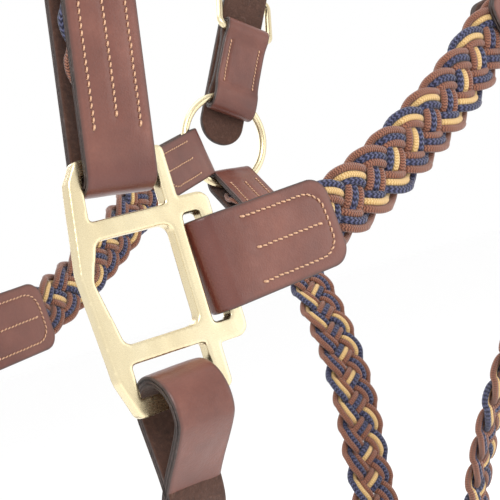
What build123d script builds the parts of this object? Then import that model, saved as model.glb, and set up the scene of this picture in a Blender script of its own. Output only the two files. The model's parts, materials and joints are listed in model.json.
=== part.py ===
"""Leather and plaited-cord head collar (halter) with cast brass squares, rings, buckles and a throat snap.

Frame: the horse faces -X, +Z is up, the near (left) side is -Y. The two sides mirror each other in Y = 0, apart
from the throatlatch.
The model is drawn about the midpoint between the two nose squares, then moved so that the origin is the
middle of the poll lining, where the head collar hangs.
"""
from build123d import *
from math import atan, cos, degrees, radians, sin, tan
import os

# ---- driving dimensions, mm ----
LEATHER = 3.2          # strap leather
TAB_GAP = 7.2          # space between the two layers of a tab, filled by the plait
TAB_WIDTH = 30.0
NOSE_TAB_WIDTH = 24.0
RING_TAB_WIDTH = 27.0
TAB_CORNER = 7.0
PLAIT_WIDTH = 24.0
PLAIT_THICK = 6.4
CHIN_WIDTH = 20.0
CHIN_LEATHER = 3.6
SQUARE_THICK = 5.0
HALF_NOSE = 75.0       # nose squares are this far from the middle
SIDE_YAW = 10.6        # the cheeks spread towards the ears, degrees
RING_RADIUS = 25.0     # to the middle of the wire
RING_WIRE = 4.2
LEAD_RING_RADIUS = 22.0
LEAD_RING_WIRE = 5.0
CROWN_THICK = 3.0
CROWN_WIDTH = 27.0
BUCKLE_BAR = 64.0      # from ring centre to the buckle's bar
BUCKLE_LENGTH = 27.0
BUCKLE_WIRE = 4.0
TONGUE_WIRE = 3.0
HOLE_PITCH = 20.0
HOLE_LONG = 13.4
HOLE_WIDE = 4.6
HOLE_FROM_BAR = 4.8

# ---- directions on the far side (+Y) ----
YAW = radians(SIDE_YAW)
UP = Vector(0, 0, 1)
REAR = Vector(cos(YAW), sin(YAW), 0)
OUT = Vector(-sin(YAW), cos(YAW), 0)
SQUARE_AT = Vector(0, HALF_NOSE, 0)


def on_side(along, height, out=0.0):
    """A point given in the far cheek's own upright plane."""
    return SQUARE_AT + REAR * along + UP * height + OUT * out


def turned(first, second, angle):
    """The direction angle degrees from first towards second, which are at right angles."""
    return first * cos(radians(angle)) + second * sin(radians(angle))


# The upper cheek tab points at the ring, which hangs in it turned inward like a door on its hinge.
UPPER_TAB_SLOPE = 13.0
RING_TURN = 25.0
UPPER_TAB_DIR = turned(REAR, UP, UPPER_TAB_SLOPE)
RING_HINGE = turned(UP, -REAR, UPPER_TAB_SLOPE)
RING_REAR = turned(UPPER_TAB_DIR, -OUT, RING_TURN)
RING_OUT = turned(OUT, UPPER_TAB_DIR, RING_TURN)
RING_WIRE_AT = on_side(216.5, 65.5)
RING_AT = RING_WIRE_AT + RING_REAR * RING_RADIUS
CROWN_DIR = turned(RING_REAR, RING_HINGE, 50.0)

# The crownpiece stands in a plane that holds the Y axis and leans back.
CROWN_UP = Vector(CROWN_DIR.X, 0, CROWN_DIR.Z).normalized()
CROWN_LEAN = -CROWN_DIR.Y
CROWN_STRAIGHT = 135.0
CROWN_OFF = 7.5          # middle of the billet, outside the chape's folds


def flip(solid):
    """The near-side twin of a far-side solid."""
    return mirror(solid, about=Plane.XZ)


def frame(origin, along, out):
    """Local frame of a strap: X runs along it, Y is its outer face, Z is across its width."""
    return Plane(origin=origin, x_dir=along, z_dir=along.cross(out)).location


def capsule(length, radius):
    """Flat capsule from the local origin along X."""
    return Circle(radius) + Pos(length, 0) * Circle(radius) + Pos(length / 2, 0) * Rectangle(length, 2 * radius)


def across(profile, width):
    """A profile drawn along and through a strap, given its width."""
    return extrude(profile, amount=width / 2, both=True)


def slack(to_centre, along, out, width):
    """Where a tab's fold is centred, from the middle of the ring wire, so that the curved wire turns in it."""
    sag = to_centre * (RING_RADIUS - (RING_RADIUS ** 2 - width ** 2 / 4) ** 0.5)
    return along * (sag.dot(along) - 0.35) + out * (sag.dot(out) / 2)


# ---- folded tabs ----
TAB_HALF = TAB_GAP / 2 + LEATHER


def folded_tab(length, width, fold_cut=0.0):
    """One piece of leather folded round a bar at the local origin, its two layers running along +X."""
    outside = Circle(TAB_HALF) + Pos(length / 2, 0) * Rectangle(length, 2 * TAB_HALF)
    inside = Circle(TAB_GAP / 2) + Pos(length / 2 + 1, 0) * Rectangle(length + 2, TAB_GAP)
    outline = Pos((length - TAB_HALF) / 2, 0, 0) * Box(length + TAB_HALF, 2 * TAB_HALF + 1, width)
    outline = fillet(outline.edges().filter_by(Axis.Y).sort_by(Axis.X)[-2:], TAB_CORNER)
    if fold_cut:
        outline = chamfer(outline.edges().filter_by(Axis.Y).sort_by(Axis.X)[:2], fold_cut)
    return across(outside - inside, width) & outline


# Cheekpiece: lower tab on the square's rear bow, plait, upper tab on the ring.
LOWER_TAB_LENGTH = 47.0
UPPER_TAB_LENGTH = 44.0
LOWER_TAB_SLOPE = degrees(atan(0.075))
LOWER_TAB_START = on_side(24.85, 0.8, -0.2)
LOWER_TAB_DIR = turned(REAR, UP, LOWER_TAB_SLOPE)
UPPER_TAB_END = RING_WIRE_AT + slack(RING_REAR, -UPPER_TAB_DIR, OUT, RING_TAB_WIDTH)
CHEEK_ROUTE = [(36.0, 1.55), (80.0, 4.85), (150.0, 37.5), (176.5, 57.25), (208.0, 64.5)]
CHEEK_RADII = [60.0, 70.0, 45.0]


def lower_cheek_tab():
    place = frame(LOWER_TAB_START, LOWER_TAB_DIR, OUT)
    return place * folded_tab(LOWER_TAB_LENGTH, TAB_WIDTH)


def upper_cheek_tab():
    place = frame(UPPER_TAB_END, -UPPER_TAB_DIR, OUT)
    return place * folded_tab(UPPER_TAB_LENGTH, RING_TAB_WIDTH)


def band_face(points, radii, breadth):
    """The flat outline of a band that follows straight runs joined by tangent arcs."""
    route = FilletPolyline(*points, radius=radii)
    return trace(route, line_width=breadth)


def cheek_plait():
    flat = band_face(CHEEK_ROUTE, CHEEK_RADII, PLAIT_WIDTH)
    solid = extrude(flat, amount=PLAIT_THICK / 2, both=True)
    return Plane(origin=SQUARE_AT - OUT * 0.56, x_dir=REAR, z_dir=-OUT).location * solid


# ---- nose square: a cast plate with slots for the noseband, cheekpiece and chin strap ----
SQUARE_OUTLINE = [(17.0, 41.0), (-14.0, 41.0), (-18.0, 35.0), (-22.5, 8.0), (-20.5, -25.0),
                  (-16.5, -37.0), (17.0, -36.5)]
WINDOW = [(12.0, 16.5), (-14.0, 16.5), (-18.6, 5.0), (-14.5, -15.2), (12.0, -15.2)]


def rounded_outline(points, radius):
    """A closed outline with every corner rounded alike."""
    return fillet(make_face(Polyline(*points, close=True)).vertices(), radius)


def nose_square():
    plate = make_face(Polyline(*SQUARE_OUTLINE, close=True))
    plate = fillet(plate.vertices(), 2.4)
    bow = Pos(19.0, 0.5) * RectangleRounded(18.0, 47.0, 4.0)
    bow_slot = Pos(19.9, 0.8) * RectangleRounded(6.6, 34.5, 1.5)
    nose_slot = rounded_outline([(12.2, 22.5), (12.2, 36.0), (-13.0, 36.0), (-14.5, 22.5)], 1.0)
    chin_slot = rounded_outline([(11.5, -21.2), (-14.6, -21.2), (-14.6, -31.5), (11.5, -31.5)], 1.0)
    window = rounded_outline(WINDOW, 3.2)
    flat = plate + bow - bow_slot - nose_slot - chin_slot - window
    cast = extrude(flat, amount=SQUARE_THICK / 2, both=True)
    rims = cast.edges().group_by(Axis.Z)
    cast = fillet(rims[0] + rims[-1], 0.6)
    return Plane(origin=SQUARE_AT, x_dir=REAR, z_dir=-OUT).location * cast


# ---- noseband: in a plane that holds the Y axis and leans back a little ----
NOSE_BACK_LEAN = 5.0
NOSE_SPREAD = 10.0
NOSE_TAB_LENGTH = 72.0
NOSE_UP = turned(UP, Vector(1, 0, 0), NOSE_BACK_LEAN)
NOSE_BAR_AT = on_side(-0.6, 38.5)
NOSE_TAB_DIR = turned(turned(UP, REAR, NOSE_BACK_LEAN), OUT, NOSE_SPREAD)
NOSE_TAB_START = NOSE_BAR_AT - NOSE_TAB_DIR * 3.0
NOSE_TOP = 152.0


def noseband_tab():
    across_dir = turned(REAR, -UP, NOSE_BACK_LEAN)
    out = NOSE_TAB_DIR.cross(across_dir)
    return frame(NOSE_TAB_START, NOSE_TAB_DIR, out) * folded_tab(NOSE_TAB_LENGTH, NOSE_TAB_WIDTH)


def noseband_plait():
    """The plait over the nose, with a flat sewn end inside each tab."""
    start = NOSE_TAB_START + NOSE_TAB_DIR * (NOSE_TAB_LENGTH + 1.0)
    leave = NOSE_TAB_START + NOSE_TAB_DIR * (NOSE_TAB_LENGTH + 14.0)
    corner = (leave.Y + 4.0, NOSE_TOP)
    half = [(start.Y, start.Z), (leave.Y, leave.Z), corner]
    points = half + [(0.0, NOSE_TOP + 10.0)] + [(-y, z) for y, z in reversed(half)]
    over = band_face(points, [40.0, 28.0, 160.0, 28.0, 40.0], PLAIT_THICK)
    lean = start.X / start.Z
    solid = Plane(origin=(0, 0, 0), x_dir=(0, 1, 0), z_dir=(1, 0, -lean)).location * across(over, PLAIT_WIDTH)
    across_dir = turned(REAR, -UP, NOSE_BACK_LEAN)
    end_length = NOSE_TAB_LENGTH - 12.0
    sewn_at = NOSE_TAB_START + NOSE_TAB_DIR * (12.0 + end_length / 2 + 2.0)
    sewn = frame(sewn_at, NOSE_TAB_DIR, NOSE_TAB_DIR.cross(across_dir))
    sewn = sewn * Box(end_length + 4.0, PLAIT_THICK, PLAIT_WIDTH - 2.0)
    return solid + sewn + flip(sewn)


# ---- rings ----
def cheek_ring():
    return Plane(origin=RING_AT, x_dir=RING_REAR, z_dir=RING_OUT).location * Torus(RING_RADIUS, RING_WIRE / 2)


# ---- crownpiece ----
CHAPE_LOOP = RING_WIRE / 2 + 0.4
RING_SAG = 4.6
CROWN_PLACE = frame(RING_AT, CROWN_DIR, RING_OUT)


def crown_chape():
    """Two layers sewn flat together, folded round the ring below and round the buckle's bar above."""
    bar_hole = BUCKLE_WIRE / 2 + 0.3
    low = RING_RADIUS - RING_SAG
    outside = Pos(low, 0) * capsule(RING_SAG + 1.5, CHAPE_LOOP + LEATHER)
    outside += Pos(BUCKLE_BAR, 0) * Circle(bar_hole + LEATHER)
    outside += Pos((low + BUCKLE_BAR) / 2, 0) * Rectangle(BUCKLE_BAR - low, 2 * LEATHER)
    inside = Pos(low, 0) * capsule(RING_SAG + 1.5, CHAPE_LOOP)
    inside += Pos(BUCKLE_BAR, 0) * Circle(bar_hole)
    solid = across(outside - inside, RING_TAB_WIDTH)
    tongue_slot = Pos(BUCKLE_BAR + 2.0, 3.0, 0) * Box(13.0, 15.0, TONGUE_WIRE + 1.2)
    return CROWN_PLACE * (solid - tongue_slot)


def buckle_path_rise():
    return CROWN_OFF + CROWN_THICK / 2 + 0.5 + BUCKLE_WIRE / 2


def buckle_frame():
    """A wire frame whose lower bar is in the chape's fold and whose upper bar lies over the billet."""
    rise = buckle_path_rise()
    half = RING_TAB_WIDTH / 2 + BUCKLE_WIRE / 2 + 1.2
    tilt = degrees(atan(rise / BUCKLE_LENGTH))
    reach = (rise ** 2 + BUCKLE_LENGTH ** 2) ** 0.5
    route = (Pos(reach / 2, 0) * RectangleRounded(reach, 2 * half, 4.5)).wire()
    section = Plane(origin=(0, 0, 0), x_dir=(1, 0, 0), z_dir=(0, 1, 0)) * Circle(BUCKLE_WIRE / 2)
    wire = sweep(section, path=route)
    return CROWN_PLACE * Pos(BUCKLE_BAR, 0, 0) * Rot(0, 0, tilt) * Rot(90, 0, 0) * wire


def buckle_tongue():
    """A pin that turns on the frame's lower bar, goes through a billet hole and rests on the upper bar."""
    rise = buckle_path_rise() + BUCKLE_WIRE / 2 + TONGUE_WIRE / 2 + 1.0
    half = TONGUE_WIRE / 2
    eye_inner = BUCKLE_WIRE / 2 + 0.08
    eye = Circle(eye_inner + 2.0) - Circle(eye_inner)
    start = eye_inner + 1.0
    points = [(0.0, start), (8.0, CROWN_OFF + 3.0), (BUCKLE_LENGTH + 2.5, rise)]
    pin = trace(FilletPolyline(*points, radius=7.0), line_width=TONGUE_WIRE) - Circle(eye_inner)
    solid = across(eye + pin, TONGUE_WIRE)
    return CROWN_PLACE * Pos(BUCKLE_BAR, 0, 0) * solid


def crown_section(thick, wide, inset):
    """The tilted rectangle that is carried round the crownpiece, where its straight part ends."""
    at = CROWN_SHOULDER - RING_OUT * inset
    return Plane(origin=at, x_dir=CROWN_DIR.cross(RING_OUT), z_dir=CROWN_DIR) * Rectangle(wide, thick)


CROWN_TIP = RING_AT + RING_OUT * CROWN_OFF - CROWN_DIR * 1.0
CROWN_SHOULDER = CROWN_TIP + CROWN_DIR * CROWN_STRAIGHT
CROWN_COS = CROWN_DIR.dot(CROWN_UP)
CROWN_RADIUS = CROWN_SHOULDER.Y / CROWN_COS
CROWN_CENTRE = Vector(CROWN_SHOULDER.X, 0, CROWN_SHOULDER.Z) - CROWN_UP * (CROWN_RADIUS * CROWN_LEAN)
CROWN_AXIS = Axis(CROWN_CENTRE, Vector(0, 1, 0).cross(CROWN_UP))
CROWN_TURN = 180.0 - 2 * degrees(atan(CROWN_LEAN / CROWN_COS))
LINING_THICK = 4.0
LINING_WIDTH = 34.0
LINING_ARC = 70.0


def crown_strap():
    """One strap over the poll, with a pointed and punched billet at each end."""
    middle = Pos(CROWN_STRAIGHT / 2 - 1.0, CROWN_OFF, 0)
    flat_end = Box(CROWN_STRAIGHT, CROWN_THICK, CROWN_WIDTH)
    corners = flat_end.edges().filter_by(Axis.Y).sort_by(Axis.X)[:2]
    billet = middle * fillet(corners, CROWN_WIDTH / 2 - 0.5)
    for step in (-1, 0, 1):
        at = Pos(BUCKLE_BAR + HOLE_FROM_BAR + step * HOLE_PITCH, CROWN_OFF, 0)
        billet -= at * extrude(Rot(90, 0, 0) * SlotOverall(HOLE_LONG, HOLE_WIDE), amount=5.0, both=True)
    billet = CROWN_PLACE * billet
    arch = revolve(crown_section(CROWN_THICK, CROWN_WIDTH, 0.0), axis=CROWN_AXIS, revolution_arc=CROWN_TURN)
    return billet + arch + flip(billet)


def crown_lining():
    """A padded leather lining under the middle of the crownpiece."""
    inset = CROWN_THICK / 2 + LINING_THICK / 2 + 0.05
    section = crown_section(LINING_THICK, LINING_WIDTH, inset)
    section = section.rotate(CROWN_AXIS, (CROWN_TURN - LINING_ARC) / 2)
    return revolve(section, axis=CROWN_AXIS, revolution_arc=LINING_ARC)


# ---- throatlatch ----
THROAT_PLANE_LEAN = 0.28
THROAT_IN = 42.0
THROAT_DOWN = Vector(-THROAT_PLANE_LEAN, 0, -(1 - THROAT_PLANE_LEAN ** 2) ** 0.5)
THROAT_DIR = turned(THROAT_DOWN, Vector(0, -1, 0), THROAT_IN)
THROAT_FOLD = RING_OUT.cross(THROAT_DIR).normalized()
THROAT_FACE = THROAT_DIR.cross(THROAT_FOLD) * -1
THROAT_TAB_LENGTH = 42.0
THROAT_TAB_WIDTH = 24.0
IN_RING = (THROAT_DIR - RING_OUT * THROAT_DIR.dot(RING_OUT)).normalized()
THROAT_WIRE_AT = RING_AT + IN_RING * RING_RADIUS
SNAP_LENGTH = 56.0
THROAT_LEAVE = 14.0      # straight plait beyond each throat tab
THROAT_ROUTE = [(40.0, 106.0), (33.0, 172.0), (27.0, 211.0), (-22.0, 211.0), (-27.0, 176.0), (-44.0, 137.0)]
THROAT_RADII = [60.0, 90.0, 70.0, 24.0, 20.0, 60.0, 60.0, 60.0]


def throat_tab(start, along, face):
    return frame(start, along, face) * folded_tab(THROAT_TAB_LENGTH, THROAT_TAB_WIDTH, fold_cut=7.2)


THROAT_SLACK = slack(-IN_RING, THROAT_DIR, THROAT_FACE, THROAT_TAB_WIDTH)
THROAT_SHIFT = THROAT_FACE * THROAT_SLACK.dot(THROAT_FACE)
FAR_THROAT_START = THROAT_WIRE_AT + THROAT_SLACK
THROAT_NORMAL = THROAT_DOWN.cross(Vector(0, 1, 0))
OFF_PLANE = THROAT_NORMAL * THROAT_SHIFT.dot(THROAT_NORMAL)

# The near end hangs from a snap, more nearly upright; it is drawn on the far side and then mirrored.
# The hook lies square to the ring; the tab and the eye are rolled as the plait's section arrives.
NEAR_IN = 23.5
NEAR_DIR = turned(THROAT_DOWN, Vector(0, -1, 0), NEAR_IN)
HOOK_FOLD = RING_OUT.cross(NEAR_DIR).normalized()
HOOK_FACE = NEAR_DIR.cross(HOOK_FOLD) * -1
NEAR_FOLD = (THROAT_NORMAL * THROAT_FOLD.dot(THROAT_NORMAL)
             + NEAR_DIR.cross(THROAT_NORMAL) * THROAT_FOLD.dot(THROAT_DIR.cross(THROAT_NORMAL)))
NEAR_FACE = NEAR_DIR.cross(NEAR_FOLD) * -1
SNAP_AT = THROAT_WIRE_AT + THROAT_SHIFT
NEAR_THROAT_START = SNAP_AT + NEAR_DIR * SNAP_LENGTH


def throat_point(y, down):
    """A point of the throatlatch's plane, measured down from the ring's lowest wire."""
    return Vector(THROAT_WIRE_AT.X, y, THROAT_WIRE_AT.Z) + THROAT_DOWN * down + OFF_PLANE


def near_point(point):
    return Vector(point.X, -point.Y, point.Z)


def throat_plait():
    """One plait from tab to tab: straight runs joined by arcs, all in one plane."""
    spans = (10.0, THROAT_TAB_LENGTH + THROAT_LEAVE)
    far = [FAR_THROAT_START + THROAT_DIR * along for along in spans]
    near = [near_point(NEAR_THROAT_START + NEAR_DIR * along) for along in reversed(spans)]
    route = far + [throat_point(y, down) for y, down in THROAT_ROUTE] + near
    path = FilletPolyline(*route, radius=THROAT_RADII)
    section = Plane(origin=far[0], x_dir=THROAT_FOLD, z_dir=THROAT_DIR) * Rectangle(PLAIT_WIDTH, PLAIT_THICK)
    return sweep(section, path=path)


# ---- snap that clips the near end of the throatlatch to the near ring ----
HOOK_INNER = 5.4
HOOK_WIRE = 5.0
SNAP_HALF = 3.7
BOLT_RADIUS = 2.2
BOLT_LINE = -HOOK_INNER - HOOK_WIRE / 2
BOLT_TRAVEL = 8.0
POST_RADIUS = 2.0
HEAD_RADIUS = 2.9
EYE_WIRE = 4.0
SNAP_PLACE = frame(SNAP_AT, NEAR_DIR, HOOK_FACE)
EYE_PLACE = frame(SNAP_AT, NEAR_DIR, NEAR_FACE)


def bar_along(at, length, radius, level=0.0):
    """A cylinder along the snap, from at to at + length."""
    return Pos(at + length / 2, level, 0) * Rot(0, 90, 0) * Cylinder(radius, length)


def snap_body():
    """Cast hook with a bored barrel for the bolt and a bored shank for the swivel."""
    hook = Circle(HOOK_INNER + HOOK_WIRE) + Pos(11.0, 0) * Rectangle(8.0, 14.0)
    shank = Pos(24.0, 0) * RectangleRounded(27.0, 8.4, 2.0)
    barrel = Pos(20.0, BOLT_LINE) * RectangleRounded(19.0, 7.0, 1.5)
    web = Pos(21.0, BOLT_LINE / 2) * Rectangle(17.0, 7.0)
    throat = Pos(6.0, BOLT_LINE) * Rectangle(9.0, HOOK_WIRE + 2.2)
    flat = hook + shank + barrel + web - Circle(HOOK_INNER) - throat
    body = extrude(flat, amount=SNAP_HALF, both=True)
    body -= bar_along(9.5, 21.0, BOLT_RADIUS + 0.06, BOLT_LINE)
    body -= Pos(22.0, BOLT_LINE - 4.0, 0) * Box(3.4 + BOLT_TRAVEL + 2.0, 6.0, 2.8)
    body -= bar_along(32.0, 10.0, POST_RADIUS + 0.06)
    body -= bar_along(28.8, 3.6, HEAD_RADIUS + 0.1)
    return SNAP_PLACE * body


def snap_bolt():
    """Sliding bolt that closes the hook, with a thumb knob through the barrel's slot."""
    knob = Pos(18.0, BOLT_LINE - 3.6, 0) * Box(3.0, 4.4, 2.4)
    top = Pos(18.0, BOLT_LINE - 6.0, 0) * Rot(90, 0, 0) * Cylinder(2.6, 1.8)
    return SNAP_PLACE * (bar_along(1.8, 19.5, BOLT_RADIUS, BOLT_LINE) + knob + top)


def swivel_eye():
    """Headed post in the shank with a flat eye that holds the throatlatch tab."""
    outer = RectangleRounded(2 * EYE_WIRE + 12.0, THROAT_TAB_WIDTH + 2 * EYE_WIRE + 2.0, 4.5)
    inner = RectangleRounded(12.0, THROAT_TAB_WIDTH + 2.0, 2.5)
    eye = Rot(90, 0, 0) * extrude(outer - inner, amount=EYE_WIRE / 2, both=True)
    eye = Pos(SNAP_LENGTH - EYE_WIRE / 2 - 6.0, 0, 0) * eye
    post = bar_along(29.0, 13.0, POST_RADIUS) + bar_along(29.0, 3.2, HEAD_RADIUS)
    return EYE_PLACE * (eye + post)


# ---- chin straps, lead ring and jaw strap ----
CHIN_LOOP = (0.3, -38.0)
CHIN_LOOP_OUTER = 13.0
CHIN_PINCH = (-9.0, -63.0)
CHIN_CORNER = (-30.0, -112.0)
LEAD_RING_LEVEL = -128.0
LEAD_RING_AT = Vector(HALF_NOSE * tan(YAW), 0, LEAD_RING_LEVEL)
CHIN_SPAN = -HALF_NOSE / cos(YAW)
CHIN_WIRE = (CHIN_SPAN + LEAD_RING_RADIUS, LEAD_RING_LEVEL)
EYELET = 3.8           # inside radius of the folds on the lead ring
JAW_LEATHER = 3.0
JAW_HOLLOW = 4.8
JAW_BEND = (80.0, -138.0)
JAW_WIRE = (LEAD_RING_AT.X + LEAD_RING_RADIUS, LEAD_RING_LEVEL)


def hull_of(start, end, radius):
    """Hull of two circles; start and end are points, radius one size or a pair."""
    big, small = radius if isinstance(radius, tuple) else (radius, radius - 0.01)
    first = Pos(start[0], start[1]) * Circle(big)
    second = Pos(end[0], end[1]) * Circle(small)
    return make_hull(first.edges() + second.edges())


def chin_strap():
    """A doubled strap: a loose loop on the square's lower bar, sewn together, and folded on the lead ring."""
    run = (Vector(*CHIN_WIRE) - Vector(*CHIN_CORNER)).normalized()
    middle = Vector(*CHIN_WIRE) + Vector(-0.36, 0.55)
    ends = [tuple(middle + run * reach)[:2] for reach in (-1.0, 2.2)]
    outside = hull_of(CHIN_LOOP, CHIN_PINCH, (CHIN_LOOP_OUTER, CHIN_LEATHER))
    outside += band_face([CHIN_PINCH, CHIN_CORNER, CHIN_WIRE], [25.0], 2 * CHIN_LEATHER)
    outside += hull_of(*ends, EYELET + CHIN_LEATHER)
    outside -= hull_of(CHIN_LOOP, (-8.0, -60.5), (CHIN_LOOP_OUTER - CHIN_LEATHER, 0.4))
    outside -= hull_of(*ends, EYELET)
    return Plane(origin=SQUARE_AT - REAR, x_dir=OUT, z_dir=REAR).location * across(outside, CHIN_WIDTH)


def lead_ring():
    return Pos(LEAD_RING_AT.X, 0, LEAD_RING_LEVEL) * Torus(LEAD_RING_RADIUS, LEAD_RING_WIRE / 2)


def jaw_strap():
    """A doubled strap from the lead ring to a flat loop round the bottom of the throatlatch."""
    bottom = throat_point(0, THROAT_ROUTE[2][1])
    level = THROAT_FOLD.rotate(Axis((0, 0, 0), THROAT_NORMAL), THROAT_IN - 90.0)
    tilt = Vector(level.X, level.Z)
    low = tuple(Vector(bottom.X, bottom.Z) - tilt * 9.0)[:2]
    high = tuple(Vector(bottom.X, bottom.Z) + tilt * 9.0)[:2]
    ends = [(JAW_WIRE[0] + shift, LEAD_RING_LEVEL - 0.2) for shift in (1.0, -2.4)]
    outside = hull_of(low, high, JAW_HOLLOW + JAW_LEATHER)
    outside += band_face([low, JAW_BEND, JAW_WIRE], [60.0], 2 * JAW_LEATHER)
    outside += hull_of(*ends, EYELET + JAW_LEATHER)
    outside -= hull_of(low, high, JAW_HOLLOW)
    outside -= hull_of(*ends, EYELET)
    return Plane(origin=(0, 0, 0), x_dir=(1, 0, 0), z_dir=(0, -1, 0)).location * across(outside, CHIN_WIDTH)


# ---- origin and output ----
TOP_OUT = RING_OUT.rotate(Axis((0, 0, 0), CROWN_AXIS.direction), CROWN_TURN / 2)
CROWN_TOP = CROWN_CENTRE + CROWN_UP * CROWN_RADIUS
POLL = CROWN_TOP - TOP_OUT * (CROWN_THICK / 2 + 0.05 + LINING_THICK)


def build():
    """Every sub-part by node name, in the drawing frame."""
    pairs = {
        "cheek_lower_tab": lower_cheek_tab(),
        "cheek_upper_tab": upper_cheek_tab(),
        "cheek_plait": cheek_plait(),
        "nose_square": nose_square(),
        "noseband_tab": noseband_tab(),
        "cheek_ring": cheek_ring(),
        "crown_chape": crown_chape(),
        "buckle_frame": buckle_frame(),
        "buckle_tongue": buckle_tongue(),
        "chin_strap": chin_strap(),
    }
    nodes = {}
    for name, solid in pairs.items():
        nodes["far_" + name] = solid
        nodes["near_" + name] = flip(solid)
    nodes["far_throat_tab"] = throat_tab(FAR_THROAT_START, THROAT_DIR, THROAT_FACE)
    nodes["near_throat_tab"] = flip(throat_tab(NEAR_THROAT_START, NEAR_DIR, NEAR_FACE))
    nodes["snap_body"] = flip(snap_body())
    nodes["snap_bolt"] = flip(snap_bolt())
    nodes["snap_swivel_eye"] = flip(swivel_eye())
    nodes["noseband_plait"] = noseband_plait()
    nodes["throat_plait"] = throat_plait()
    nodes["crown_strap"] = crown_strap()
    nodes["crown_lining"] = crown_lining()
    nodes["lead_ring"] = lead_ring()
    nodes["jaw_strap"] = jaw_strap()
    return nodes


os.makedirs("parts", exist_ok=True)
for node, shape in build().items():
    export_step(Pos(-POLL.X, -POLL.Y, -POLL.Z) * shape, f"parts/{node}.step")
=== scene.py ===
"""Visual model of a leather and plaited-cord head collar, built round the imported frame.

Lengths are in millimetres in the drawing frame (origin midway between the nose squares, the horse facing -X,
+Z up, near side -Y) and become metres in the row frame when a mesh is made.
"""
import json
import math

import bpy
import numpy as np
from mathutils import Matrix, Vector


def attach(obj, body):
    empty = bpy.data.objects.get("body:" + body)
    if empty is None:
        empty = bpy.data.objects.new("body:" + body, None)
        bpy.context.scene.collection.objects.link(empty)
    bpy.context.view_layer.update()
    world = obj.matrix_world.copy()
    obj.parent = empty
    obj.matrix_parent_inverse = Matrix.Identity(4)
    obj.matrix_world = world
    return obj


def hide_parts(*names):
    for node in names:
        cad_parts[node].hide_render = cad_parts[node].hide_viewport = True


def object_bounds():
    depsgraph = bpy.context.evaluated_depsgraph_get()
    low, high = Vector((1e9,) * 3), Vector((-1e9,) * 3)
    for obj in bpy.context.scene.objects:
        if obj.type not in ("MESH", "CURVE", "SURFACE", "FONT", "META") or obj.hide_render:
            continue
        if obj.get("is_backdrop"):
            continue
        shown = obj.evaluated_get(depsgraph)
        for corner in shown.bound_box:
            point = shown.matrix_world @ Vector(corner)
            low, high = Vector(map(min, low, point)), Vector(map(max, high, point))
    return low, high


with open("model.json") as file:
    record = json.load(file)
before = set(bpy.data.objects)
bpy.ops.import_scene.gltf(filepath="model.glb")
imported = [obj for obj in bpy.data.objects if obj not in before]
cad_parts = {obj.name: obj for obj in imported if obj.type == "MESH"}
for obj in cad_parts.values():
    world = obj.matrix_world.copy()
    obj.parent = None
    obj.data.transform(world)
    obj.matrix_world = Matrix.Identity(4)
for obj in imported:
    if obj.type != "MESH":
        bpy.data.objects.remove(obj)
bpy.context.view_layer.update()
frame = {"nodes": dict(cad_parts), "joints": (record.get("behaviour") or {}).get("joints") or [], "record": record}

MM = 0.001
NEAR, FAR = -1, 1
SIDES = {"near": NEAR, "far": FAR}

# ---- driving dimensions, as in the frame ----
LEATHER = 3.2
TAB_GAP = 7.2
TAB_WIDTH = 30.0
NOSE_TAB_WIDTH = 24.0
RING_TAB_WIDTH = 27.0
THROAT_TAB_WIDTH = 24.0
TAB_CORNER = 7.0
LOWER_TAB_LENGTH = 47.0
UPPER_TAB_LENGTH = 44.0
NOSE_TAB_LENGTH = 72.0
THROAT_TAB_LENGTH = 42.0
HALF_NOSE = 75.0
YAW = math.radians(10.6)
RING_RADIUS = 25.0
RING_WIRE = 4.2
LEAD_RING_RADIUS = 22.0
LEAD_RING_LEVEL = -128.0
CROWN_THICK = 3.0
CROWN_WIDTH = 27.0
CROWN_OFF = 7.5
CROWN_STRAIGHT = 135.0
BUCKLE_BAR = 64.0
BUCKLE_WIRE = 4.0
HOLE_FROM_BAR = 4.8
HOLE_PITCH = 20.0
HOLE_LONG = 13.4
HOLE_WIDE = 4.6
CHIN_WIDTH = 20.0
CHIN_LEATHER = 3.6
JAW_LEATHER = 3.0
SNAP_LENGTH = 56.0


# ---- vectors ----
def vec(*values):
    return np.array(values, float)


def unit(v):
    return v / np.linalg.norm(v, axis=-1, keepdims=True)


def turned(first, second, angle):
    """The direction angle degrees from first towards second, which are at right angles."""
    return first * math.cos(math.radians(angle)) + second * math.sin(math.radians(angle))


def spun(v, axis, angle):
    """v turned about the unit axis by angle radians."""
    c, s = math.cos(angle), math.sin(angle)
    return v * c + np.cross(axis, v) * s + axis * np.dot(axis, v) * (1 - c)


def smooth_step(x):
    x = np.clip(x, 0.0, 1.0)
    return x * x * (3 - 2 * x)


# ---- places, from the frame ----
def joint(name):
    return next(j for j in frame["joints"] if j["name"] == name)


def mount(name):
    return next(m for m in frame["record"]["mounts"] if m["name"] == name)


UP = vec(0, 0, 1)
REAR = vec(math.cos(YAW), math.sin(YAW), 0)
OUT = vec(-math.sin(YAW), math.cos(YAW), 0)
LEAD_RING_AT = vec(HALF_NOSE * math.tan(YAW), 0, LEAD_RING_LEVEL)
ORIGIN = vec(*mount("lead_ring_eye")["pos_m"]) - LEAD_RING_AT * MM
SQUARE_AT = vec(0, HALF_NOSE, 0)


def drawn(pos_m):
    """A point of the row frame, in the drawing frame."""
    return (vec(*pos_m) - ORIGIN) / MM


RING_AT = drawn(joint("far_ring_spin")["pos_m"])
RING_OUT = unit(vec(*joint("far_ring_spin")["axis"]))
CROWN_DIR = unit(np.cross(RING_OUT, joint("far_tongue_lift")["axis"]))
NEAR_DIR = unit(vec(*joint("snap_swivel")["axis"])) * vec(1, -1, 1)
SNAP_AT = drawn(joint("snap_swivel")["pos_m"]) * vec(1, -1, 1)
UPPER_TAB_DIR = turned(REAR, UP, 13.0)
RING_REAR = turned(UPPER_TAB_DIR, -OUT, 25.0)
RING_WIRE_AT = RING_AT - RING_REAR * RING_RADIUS


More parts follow.
